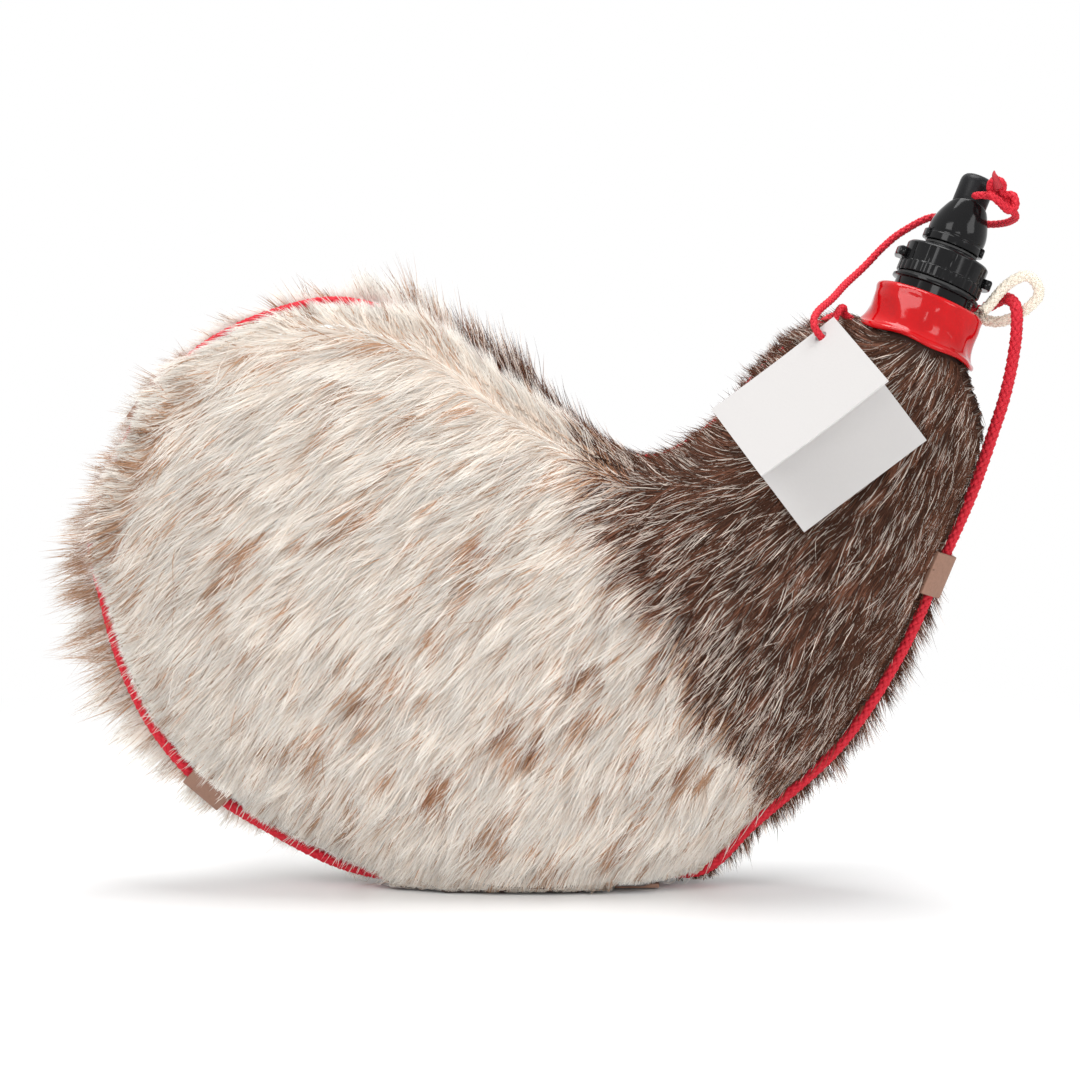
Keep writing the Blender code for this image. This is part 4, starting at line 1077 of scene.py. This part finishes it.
# Operators
class BOTA_OT_stage(bpy.types.Operator):
    """Camera, floor and soft studio lights"""
    bl_idname = "bota.stage"
    bl_label = "Stage"

    def execute(self, context):
        scene, sizes = context.scene, context.scene.bota_stage
        camera = bpy.data.cameras.new("photo_camera")
        camera.lens, camera.sensor_width = sizes.lens, 36.0
        camera.clip_start, camera.clip_end = 0.01, 30.0
        eye = linked("photo_camera", camera)
        aim = Vector((sizes.look_x, 0.0, sizes.look_z))
        back = Vector((0.0, -math.cos(sizes.elevation), math.sin(sizes.elevation)))
        eye.location = aim + back * sizes.distance
        eye.rotation_euler = (math.pi / 2 - sizes.elevation, 0.0, 0.0)
        scene.camera = eye
        scene.view_settings.view_transform = "Standard"
        floor = self.floor(sizes)
        for name, place, size, power in (
                ("key_light", (-0.75, -0.95, 1.05), 0.65, sizes.key_power),
                ("fill_light", (1.05, -0.85, 0.65), 0.6, sizes.fill_power),
                ("front_light", (0.0, -1.45, 0.30), 0.5, sizes.front_power),
                ("top_light", (0.05, 0.10, 1.35), 0.8, sizes.top_power)):
            light = bpy.data.lights.new(name, "AREA")
            light.shape, light.size, light.energy = "SQUARE", size, power
            lamp = linked(name, light)
            lamp.location = place
            lamp.rotation_euler = (aim - Vector(place)).to_track_quat("-Z", "Y").to_euler()
        self.sky(scene, sizes)
        return {"FINISHED"}

    def floor(self, sizes):
        """Pale paper that the camera sees as white far from the bag."""
        reach, below = 12.0, 0.0002
        fade_start, fade_end, brighter = 0.22, 0.50, 1.10
        mesh = bpy.data.meshes.new("floor")
        mesh.from_pydata([(-reach, -reach, 0), (reach, -reach, 0), (reach, reach, 0),
                          (-reach, reach, 0)], [], [(0, 1, 2, 3)])
        made, tree, shader = new_material("floor_paper")
        seen = seen_rays(tree)
        mix = colour_mix(tree, sizes.floor, [c * brighter for c in sizes.floor])
        mix.clamp_result = False
        tree.links.new(seen, mix.inputs["Factor"])
        tree.links.new(mix.outputs["Result"], shader.inputs["Base Color"])
        shader.inputs["Roughness"].default_value = 0.5
        shader.inputs["Specular IOR Level"].default_value = 0.3
        place = tree.nodes.new("ShaderNodeTexCoord")
        away = tree.nodes.new("ShaderNodeVectorMath")
        away.operation = "LENGTH"
        far = tree.nodes.new("ShaderNodeMapRange")
        far.interpolation_type = "SMOOTHSTEP"
        far.inputs["From Min"].default_value = fade_start
        far.inputs["From Max"].default_value = fade_end
        shown = math_node(tree, "MULTIPLY")
        white = tree.nodes.new("ShaderNodeEmission")
        white.inputs["Strength"].default_value = 1.0
        tree.links.new(place.outputs["Object"], away.inputs[0])
        tree.links.new(away.outputs["Value"], far.inputs["Value"])
        tree.links.new(far.outputs["Result"], shown.inputs[0])
        tree.links.new(seen, shown.inputs[1])
        tree.links.new(shown.outputs[0], mixed_shaders(tree, shader, white))
        mesh.materials.append(made)
        thing = linked("floor", mesh)
        thing.location.z = -below
        return thing

    def sky(self, scene, sizes):
        """Even light that the camera sees as white."""
        world = bpy.data.worlds.new("studio")
        world.use_nodes = True
        tree = world.node_tree
        soft, white = tree.nodes["Background"], tree.nodes.new("ShaderNodeBackground")
        for light, strength in ((soft, sizes.sky), (white, 1.0)):
            light.inputs["Color"].default_value = (1, 1, 1, 1)
            light.inputs["Strength"].default_value = strength
        tree.links.new(seen_rays(tree), mixed_shaders(tree, soft, white, "World Output"))
        scene.world = world


class BOTA_OT_cords(bpy.types.Operator):
    """Thick carrying cord, thin stopper cord, knots and cream loop"""
    bl_idname = "bota.cords"
    bl_label = "Cords"

    def execute(self, context):
        sizes = context.scene.bota_cords
        red = grain_material("red_braid", sizes.red, 0.7, 1500.0, 0.5, 0.25)
        cream = grain_material("cream_braid", sizes.cream, 0.85, 1500.0, 0.5, 0.12)
        # The braids' cores are painted darker, as shade in the gaps between strands, and
        # braid_mesh finds them by name
        grain_material("red_braid_inside", [c * 0.3 for c in sizes.red], 0.9, 1500.0, 0.5, 0.25)
        grain_material("cream_braid_inside", [c * 0.45 for c in sizes.cream], 0.9, 1500.0, 0.5,
                       0.12)
        carry, centre, length = braid_mesh("carrying_cord", carry_route, sizes.carry_radius, red)
        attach(carry, "bag")
        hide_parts("carry_cord")
        knot = self.knot("carrying_cord_knot", carry_knot_place, carry_knot_radius,
                         carry_knot_cord, red)
        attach(knot, "bag")
        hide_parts("carry_knot")
        parts = [braid_mesh(name, route, sizes.tether_radius, red, strands=8)
                 for name, route in (("stopper_cord_low", tether_lower_route),
                                     ("stopper_cord_middle", tether_middle_route),
                                     ("stopper_cord_high", tether_upper_route))]
        low, middle, high = [part[0] for part in parts]
        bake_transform(low)
        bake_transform(middle)
        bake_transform(high)
        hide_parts("tether_cord")
        knot_middle = tether_knot_place + tether_knot_shift
        lumps = np.array(tether_knot_route)
        lumps = np.stack((lumps[:, 0], -lumps[:, 2], lumps[:, 1]), axis=1) + knot_middle / MM
        end_knot = braid_mesh("stopper_cord_knot", lumps, tether_knot_cord, red, strands=8)[0]
        join(end_knot, [self.tail(knot_middle, sizes)])
        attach(end_knot, "stopper")
        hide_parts("tether_knot")
        bit, centre, length = braid_mesh("stopper_cord_end", tether_loop_route,
                                         sizes.tether_radius, red, strands=8)
        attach(bit, "stopper")
        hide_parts("tether_loop")
        loop, centre, length = braid_mesh("cream_loop", neck_loop_route, sizes.loop_radius,
                                          cream)
        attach(loop, "bag")
        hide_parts("neck_loop")
        return {"FINISHED"}

    def tail(self, place, sizes):
        """Singed, pointed end of the thin cord above its knot."""
        burnt = grain_material("singed_end", [c * 0.62 for c in sizes.red], 0.6, 1500.0, 0.5, 0.4)
        spacing = 0.0005
        even = smooth_path(place + np.array(tether_tail_route) * MM, spacing, 1.0)[0]
        share = np.linspace(0, 1, len(even))
        width = sizes.tether_radius * (1.35 - 0.25 * share - 0.95 * share**2)
        return tube_mesh("singed_tail", even, width, burnt, around=10)

    def knot(self, name, place, size, radius, look):
        """Tight trefoil of cord about a place."""
        t = np.linspace(0.2, 2 * math.pi + 0.1, 40)
        x = np.sin(t) + 2 * np.sin(2 * t)
        y = np.cos(t) - 2 * np.cos(2 * t)
        z = -np.sin(3 * t)
        points = np.stack((x * 0.8, y * 1.1, z * 1.2), axis=1) * (size - radius) / 3.0
        turned_by = np.array((neck_right, neck_up, -neck_back))
        route = (points @ turned_by + place) / MM
        return braid_mesh(name, route, radius, look, strands=8)[0]


class BOTA_OT_collar(bpy.types.Operator):
    """Glossy red collar with soft dents and rolled edges"""
    bl_idname = "bota.collar"
    bl_label = "Collar"

    def execute(self, context):
        sizes = context.scene.bota_spout
        # Painted reflection: the red swings 35% darker and lighter in coarse noise, as the dark
        # and bright patches the gloss would mirror; the same noise also bumps the surface.
        look = grain_material("red_leather", sizes.red, 0.1, 60.0, 0.3, 0.35,
                              Specular_IOR_Level=0.27)
        outline = [(22.0, 0.0), (22.3, 0.7), (21.9, 1.6), (21.0, 2.3), (20.2, 3.4), (19.6, 5.0),
                   (19.35, 7.0), (19.3, 9.5), (19.4, 12.0), (19.35, 14.0), (19.45, 15.6),
                   (19.2, 16.7), (18.4, 17.4), (17.2, 17.6), (15.6, 17.5), (14.6, 17.3),
                   (14.35, 16.6), (14.4, 15.8), (16.2, 15.5), (18.1, 15.4), (18.15, 12.0),
                   (18.15, 7.0), (18.9, 3.6), (20.8, 0.9), (21.0, 0.0)]
        fine = self.smooth(np.array(outline) * MM, 4)

        def dent(radius, up, turn):
            """Soft dents round the outside, fainter at both edges, and a wavy foot."""
            height, depth, foot, foot_wave = 0.016, 0.0012, 0.003, 0.0004
            share = np.clip((up - 0.0005) / height, 0, 1)
            wave = (0.30 * np.sin(3 * turn + 200 * up) + 0.26 * np.sin(6 * turn - 210 * up + 1.3)
                    + 0.17 * np.sin(10 * turn + 400 * up + 0.7))
            edge = np.sin(share * math.pi) ** 0.5
            outside = np.clip((radius - 0.0165) / 0.002, 0, 1)
            radius = radius + wave * depth * outside * (0.3 + 0.7 * edge)
            low = np.clip(1 - up / foot, 0, 1)
            return radius, up + low * foot_wave * np.sin(6 * turn + 0.5)

        thing = turned("red_collar", fine, look, sizes.steps * 2, dent)
        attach(thing, "bag")
        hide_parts("neck_collar")
        return {"FINISHED"}

    @staticmethod
    def smooth(points, steps):
        """Closed smooth curve through the points."""
        count = len(points)
        made = []
        for i in range(count):
            p0, p1, p2, p3 = (points[(i + k) % count] for k in (-1, 0, 1, 2))
            for k in range(steps):
                t = k / steps
                made.append(0.5 * (2 * p1 + (p2 - p0) * t + (2 * p0 - 5 * p1 + 4 * p2 - p3) * t**2
                                   + (3 * p1 - p0 - 3 * p2 + p3) * t**3))
        return np.array(made)


class BOTA_OT_spout(bpy.types.Operator):
    """Black spout: threaded base, big ring, nozzle and stopper"""
    bl_idname = "bota.spout"
    bl_label = "Spout"

    def execute(self, context):
        sizes = context.scene.bota_spout
        steps = sizes.steps
        black = grain_material("black_plastic", sizes.black, 0.11, 220.0, 0.05, 0.3,
                               Specular_IOR_Level=0.17)
        matte = grain_material("matte_black", (0.007, 0.007, 0.008), 0.38, 900.0, 0.25, 0.3,
                               Specular_IOR_Level=0.16)
        for thing, body, node_name in (
                (self.base(black, steps), "bag", "spout_base"),
                (self.ring(black, steps), "big_ring", "filler_ring"),
                (self.nozzle(black, steps), "nozzle", "nozzle"),
                (self.stopper(matte, steps), "stopper", "stopper")):
            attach(thing, body)
            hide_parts(node_name)
        return {"FINISHED"}

    # Outlines are (radius, up) points in millimetres
    def base(self, look, steps):
        """Neck tube and barrel with its rim, and a neck with thread ridges above."""
        outline = [(10.2, -6.0), (12.0, -6.0), (12.0, 17.9), (14.0, 17.9), (14.0, 21.1),
                   (15.6, 21.2), (15.6, 22.2), (12.2, 22.2)]
        pitch, up, thread_top = 1.6, 22.9, 31.8
        while up + pitch < thread_top:
            outline += [(11.7, up), (12.15, up + 0.5), (12.15, up + 0.8), (11.7, up + 1.3)]
            up += pitch
        outline += [(12.1, 32.0), (10.2, 32.0)]
        return turned("spout_body", rounded(np.array(outline) * MM, 0.00018, 3), look, steps)

    def ring(self, look, steps):
        """Big ring with a fine band below, coarse grooves above and two lugs."""
        outline = [(12.6, 23.5), (14.9, 23.5), (15.1, 23.8), (15.1, 27.2), (14.7, 27.5),
                   (14.7, 33.8), (13.9, 34.6), (10.4, 34.6), (10.1, 35.0), (10.1, 35.7),
                   (7.3, 35.7), (7.3, 32.3), (12.6, 32.3)]

        def ribs(radius, up, turn):
            band = np.clip((radius - 0.0143) / 0.0003, 0, 1)
            low = (up < 0.0274) * (np.cos(turn * 30) > 0.55) * 0.00028
            high = ((up > 0.0276) & (up < 0.0336)) * (np.cos(turn * 12) > 0.88) * 0.0004
            return radius - band * (low + high), up

        thing = turned("big_ring", rounded(np.array(outline) * MM), look, steps * 2, ribs)
        self.lugs(thing, [(14.3, 27.7), (17.3, 27.7), (17.6, 28.1), (17.6, 30.5), (17.2, 31.0),
                          (14.3, 31.0)], 0.30, look, 14)
        return thing

    @staticmethod
    def lugs(thing, outline, half_turn, look, steps):
        """Gives a turned piece two lugs, right and left."""
        outline = rounded(np.array(outline) * MM)
        join(thing, [turned("lug", outline, look, steps, None, middle - half_turn, 2 * half_turn)
                     for middle in (0.0, math.pi)])

    def nozzle(self, look, steps):
        """Small nozzle: stepped flange with two lugs, dome and slanted cup for the stopper."""
        outline = [(5.2, 30.8), (7.0, 30.8), (7.0, 37.0), (10.0, 37.0), (10.2, 37.2),
                   (10.2, 39.5), (9.9, 39.8), (9.9, 40.5), (10.15, 41.0), (10.2, 42.0),
                   (10.17, 43.0), (10.05, 44.0), (9.85, 45.0), (9.55, 46.0), (9.2, 47.0),
                   (8.8, 48.0), (8.3, 49.0), (7.75, 50.0), (7.25, 50.8), (6.9, 51.1),
                   (6.5, 51.0), (6.4, 50.4), (6.4, 48.0), (6.4, 47.0), (1.1, 47.0),
                   (1.1, 45.5), (5.2, 43.0)]

        def slant(radius, up, turn):
            share = np.clip((up - 0.0435) / 0.0075, 0, 1) ** 1.5
            return radius, up - 0.0030 * share * np.clip(radius / 0.0069, 0, 1) * np.sin(turn)

        thing = turned("nozzle_body", rounded(np.array(outline) * MM, 0.00035), look, steps,
                       slant)
        self.lugs(thing, [(9.5, 37.3), (10.9, 37.3), (11.1, 37.6), (11.1, 40.1), (10.8, 40.4),
                          (9.5, 40.4)], 0.36, look, 10)
        return thing

    def stopper(self, look, steps):
        """Push-in stopper with a pin below and a rounded top."""
        outline = [(0.0, 45.3), (0.7, 45.3), (0.7, 47.3), (5.6, 47.3), (6.05, 47.8),
                   (6.05, 60.4), (5.95, 61.4), (5.6, 62.3), (4.9, 63.1), (3.8, 63.6),
                   (2.2, 63.9), (0.0, 64.0)]
        return turned("stopper_body", np.array(outline) * MM, look, steps)


class BOTA_OT_tabs(bpy.types.Operator):
    """Four leather tabs folded over the cord"""
    bl_idname = "bota.tabs"
    bl_label = "Tabs"

    def execute(self, context):
        sizes = context.scene.bota_trim
        look = grain_material("tan_leather", sizes.leather, 0.62, 700.0, 0.6, 0.22)
        for name in ("tab_right", "tab_bottom", "tab_lower_left", "tab_upper_left"):
            thing = copied(name, name + "_leather", look)
            self.round_edges(thing)
            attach(thing, "bag")
            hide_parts(name)
        return {"FINISHED"}

    def round_edges(self, thing):
        """Rounded edges, so that it reads as cut leather."""
        sharpest, edge = math.radians(50), 0.00035
        with edited(thing) as build:
            bmesh.ops.remove_doubles(build, verts=build.verts[:], dist=1e-5)
            sharp = [e for e in build.edges if len(e.link_faces) == 2
                     and e.calc_face_angle(0.0) > sharpest]
            bmesh.ops.bevel(build, geom=sharp, offset=edge, segments=3, profile=0.6,
                            affect="EDGES")
            bmesh.ops.recalc_face_normals(build, faces=build.faces[:])
        shade_faces(thing, True)


class BOTA_OT_tag(bpy.types.Operator):
    """Folded card on the thin cord"""
    bl_idname = "bota.tag"
    bl_label = "Card tag"

    def execute(self, context):
        sizes = context.scene.bota_trim
        look = grain_material("white_card", sizes.card, 0.55, 1200.0, 0.12, 0.02)
        for name, down, out, side, body, node_name in (
                ("card_back", tag_down, tag_out, -1, "tag_back", "tag_back"),
                ("card_front", tag_front_down, tag_front_out, 1, "tag_front", "tag_front")):
            thing = self.leaf(name, down, out * side, look)
            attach(thing, body)
            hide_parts(node_name)
        return {"FINISHED"}

    def leaf(self, name, down, out, look):
        """A thin leaf with a slight curl and a punched hole."""
        steps, near = 26, 0.0004
        points = [self.place(i / steps * tag_side, near + j / steps * (tag_side - near), down,
                             out, near)
                  for i in range(steps + 1) for j in range(steps + 1)]
        thing = mesh_from_arrays(name, points, grid_corners(steps + 1, steps + 1), look,
                                 smooth=False)
        solid = thing.modifiers.new("thickness", "SOLIDIFY")
        solid.thickness, solid.offset = tag_wall, 0.0
        cut = self.punch(name + "_punch", down)
        bore = thing.modifiers.new("hole", "BOOLEAN")
        bore.operation, bore.solver, bore.object = "DIFFERENCE", "EXACT", cut
        depsgraph = bpy.context.evaluated_depsgraph_get()
        done = bpy.data.meshes.new_from_object(thing.evaluated_get(depsgraph))
        thing.modifiers.clear()
        thing.data = done
        bpy.data.objects.remove(cut, do_unlink=True)
        shade_faces(thing, False)
        return thing

    def place(self, along, across, down, out, near):
        """Point of a leaf: along the fold and across from it, lifted by the card's curl."""
        curl = 0.0006 * (across / tag_side) ** 2 - 0.0004 * math.sin(along / tag_side * math.pi)
        return tag_corner + tag_along * along + down * across + out * (near + 0.0003 + curl)

    def punch(self, name, down):
        """Round cutter through the card's hole."""
        along, below = tag_hole
        turn = Vector(np.cross(tag_along, down)).to_track_quat("Z", "Y").to_matrix().to_4x4()
        turn.translation = tag_corner + tag_along * along + down * below
        cut = linked(name, bpy.data.meshes.new(name))
        with edited(cut) as build:
            bmesh.ops.create_cone(build, cap_ends=True, segments=28, radius1=tag_hole_radius,
                                  radius2=tag_hole_radius, depth=0.008, matrix=turn)
        return cut


class BOTA_OT_hide(bpy.types.Operator):
    """Hide panels under the hair, seam braid and what lies inside"""
    bl_idname = "bota.hide"
    bl_label = "Hide"

    def execute(self, context):
        sizes = context.scene.bota_fur
        skin = self.skin_look(sizes)
        for name, border in (("hide_front", front_border), ("hide_back", back_border)):
            thing = copied(name, name + "_skin", skin)
            with edited(thing) as build:
                bmesh.ops.remove_doubles(build, verts=build.verts[:], dist=1e-5)
                bmesh.ops.subdivide_edges(build, edges=build.edges[:], cuts=1,
                                          use_grid_fill=True)
            shade_faces(thing, True)
            points = np.array([thing.matrix_world @ v.co for v in thing.data.vertices]) / MM
            x, z = points[:, 0], points[:, 2]
            dark = (x - border_x(border, z) + 4 * waves(x, z, 17.0, 3)) / 3.0
            # Painted shade: the skin is also dark below about 4 mm, as shade where the bag meets
            # the floor.
            dark = np.maximum(dark, 3.5 - z)
            point_value(thing, "dark", np.clip(dark + 0.5, 0, 1))
            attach(thing, "bag")
            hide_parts(name)
        welt = grain_material("welt_braid", (0.55, 0.42, 0.30), 0.9, 1500.0, 0.6, 0.2)
        liner = grain_material("liner_latex", (0.62, 0.60, 0.52), 0.45, 300.0, 0.2, 0.1)
        twine = grain_material("lashing_twine_fibre", (0.72, 0.64, 0.48), 0.9, 1500.0, 0.6, 0.2)
        seal = grain_material("black_seal", (0.012, 0.012, 0.012), 0.5, 500.0, 0.1, 0.2)
        for name, look in (("seam_welt", welt), ("bladder", liner), ("neck_lashing", twine),
                           ("cap_washer", seal), ("nozzle_washer", seal)):
            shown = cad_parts[name]
            shown.data.materials.clear()
            shown.data.materials.append(look)
        return {"FINISHED"}

    def skin_look(self, sizes):
        """Pale skin with grain, dark where the dark hair grows and, as painted shade, along the
        bottom by the floor.
        """
        made, tree, shader = new_material("hide_skin")
        mask = use_grain(tree, shader, 500.0, 0.5)
        pale = colour_mix(tree, [c * 0.55 for c in sizes.cream], [c * 0.80 for c in sizes.cream])
        tree.links.new(mask, pale.inputs["Factor"])
        mix = colour_mix(tree, None, sizes.dark)
        tree.links.new(attribute(tree, "dark"), mix.inputs["Factor"])
        tree.links.new(pale.outputs["Result"], mix.inputs["A"])
        tree.links.new(mix.outputs["Result"], shader.inputs["Base Color"])
        shader.inputs["Roughness"].default_value = 0.8
        return made


class BOTA_OT_fur(bpy.types.Operator):
    """Hair of both panels in pale, tan, brown, dark and grey strands"""
    bl_idname = "bota.fur"
    bl_label = "Fur"
    most_in_mesh = 20000

    def execute(self, context):
        sizes = context.scene.bota_fur
        looks = {
            "cream": hair_material("hair_cream", sizes.root, sizes.cream, 0.5),
            "tan": hair_material("hair_tan", [c * 1.35 for c in sizes.tan], sizes.tan, 0.6),
            "brown": hair_material("hair_brown", [c * 1.7 for c in sizes.brown], sizes.brown, 0.7),
            "red": hair_material("hair_chestnut", [c * 0.7 for c in sizes.chestnut],
                                 [c * 1.5 for c in sizes.chestnut], 1.0, 0.36, 0.2),
            "dark": hair_material("hair_dark", [c * 0.8 for c in sizes.dark],
                                  [c * 2.0 for c in sizes.dark], 1.0, 0.42, 0.2),
            # Grey strands are partly painted glints on the dark hair, so they let little light
            # through and stay bright.
            "grey": hair_material("hair_grey_and_glint", [c * 0.12 for c in sizes.grey], sizes.grey, 0.7,
                                  0.4, 0.06),
        }
        scale = 1.0
        for label, side, flow, spill, reach, lengths, border, count, seed in (
                ("front", -1, front_flow, front_spill, front_reach, front_length,
                 front_border, sizes.front_count, 11),
                ("back", 1, back_flow, None, back_reach, back_length,
                 back_border, sizes.back_count, 12)):
            panel = Panel("hide_" + label, side)
            coat = Coat(panel, flow, spill, reach, lengths, int(count * scale), seed)
            if side < 0:
                coat.clear_tag()
            kinds = self.kinds(coat, border)
            for kind, look in looks.items():
                chosen = kinds == kind
                parts = 1 + int(chosen.sum() // self.most_in_mesh)
                for part in range(parts):
                    some = chosen & (np.arange(coat.count) % parts == part)
                    if some.any():
                        coat.strands("%s_hair_%s_%d" % (label, kind, part + 1), some,
                                     sizes.width, look)
        return {"FINISHED"}

    def kinds(self, coat, border):
        """Which colour each hair has."""
        rng, x, z = coat.rng, coat.x, coat.z
        chance = rng.uniform(0, 1, coat.count)
        shared = rng.uniform(0, 1, coat.count) < 0.72
        chance = np.where(shared, chance[coat.leader], chance)
        kinds = np.full(coat.count, "cream", dtype="<U6")
        past = x - border_x(border, z) + 5 * waves(x, z, 21.0, 3) + 3.5 * waves(x, z, 7.0, 8)
        past = past + rng.normal(0, 2.0, coat.count)
        if coat.panel.side < 0:
            amount = self.brown_amount(coat, x, z)
            kinds[chance < amount * 1.25] = "tan"
            kinds[chance < amount - 0.3] = "brown"
            kinds[(kinds == "cream") & (chance > 0.965)] = "tan"
        else:
            kinds[chance < ramp(x, -110, -145) * 0.36] = "tan"
            kinds[(kinds == "cream") & (chance > 0.93)] = "tan"
        dark = past > 0
        kinds[dark] = "dark"
        kinds[dark & (chance > 0.70)] = "red"
        # Grey strands: real pale hair and also painted glints, bright strands in place of
        # highlights on the dark hair.
        loose = rng.uniform(0, 1, coat.count)
        many = 0.16 + 0.20 * np.exp(-((past - 14) / 18) ** 2)
        kinds[dark & (loose < many * (1 + 0.5 * waves(x, z, 14.0, 31)))] = "grey"
        kinds[dark & (past < 7) & (chance < 0.16)] = "brown"
        kinds[(np.abs(past) < 5) & (chance > 0.4) & (chance < 0.58)] = "tan"
        return kinds

    def brown_amount(self, coat, x, z):
        """How brown the front is at places: flecks, long streaks, the left edge and its groove."""
        flecked = fleck_amount(x, z) * (1.0 + 0.35 * waves(x, z, 9.0, 21))
        flecked = flecked * np.interp(z, (10, 60), (0.72, 1.0))
        streak = np.clip(waves(x + 0.6 * z, z - 0.6 * x, 13.0, 44) - 0.25, 0, 1)
        streak = streak * np.interp(z, (100, 150), (0.16, 0.30))
        left_edge = ramp(x, -118, -148) * ramp(z, 95, 115) * 0.18
        past_seam = coat.panel.read(coat.panel.past, x, z)
        groove = np.exp(-((past_seam + 10) / 2.5) ** 2) * 0.30 * ramp(x, -100, -110)
        groove = groove * ramp(z, 100, 120)
        return np.maximum(flecked, streak + left_edge + groove)


class BOTA_PT_panel(bpy.types.Panel):
    """Lists the steps that build the bag"""
    bl_label = "Bota Bag"
    bl_idname = "BOTA_PT_panel"
    bl_space_type = "VIEW_3D"
    bl_region_type = "UI"
    bl_category = "Bota Bag"

    def draw(self, context):
        for step in operators:
            self.layout.operator(step.bl_idname)


operators = (BOTA_OT_stage, BOTA_OT_cords, BOTA_OT_hide, BOTA_OT_collar, BOTA_OT_spout,
             BOTA_OT_tabs, BOTA_OT_tag, BOTA_OT_fur)
settings = (("bota_stage", BotaStageSettings), ("bota_fur", BotaFurSettings),
            ("bota_cords", BotaCordSettings), ("bota_spout", BotaSpoutSettings),
            ("bota_trim", BotaTrimSettings))


def register():
    for name, kind in settings:
        bpy.utils.register_class(kind)
        setattr(bpy.types.Scene, name, PointerProperty(type=kind))
    for kind in (*operators, BOTA_PT_panel):
        bpy.utils.register_class(kind)


def unregister():
    for kind in (BOTA_PT_panel, *reversed(operators)):
        bpy.utils.unregister_class(kind)
    for name, kind in reversed(settings):
        delattr(bpy.types.Scene, name)
        bpy.utils.unregister_class(kind)


def main():
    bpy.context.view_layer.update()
    register()
    bpy.ops.bota.stage()
    bpy.ops.bota.cords()
    bpy.ops.bota.hide()
    bpy.ops.bota.collar()
    bpy.ops.bota.spout()
    bpy.ops.bota.tabs()
    bpy.ops.bota.tag()
    bpy.ops.bota.fur()


if __name__ == "__main__":
    main()
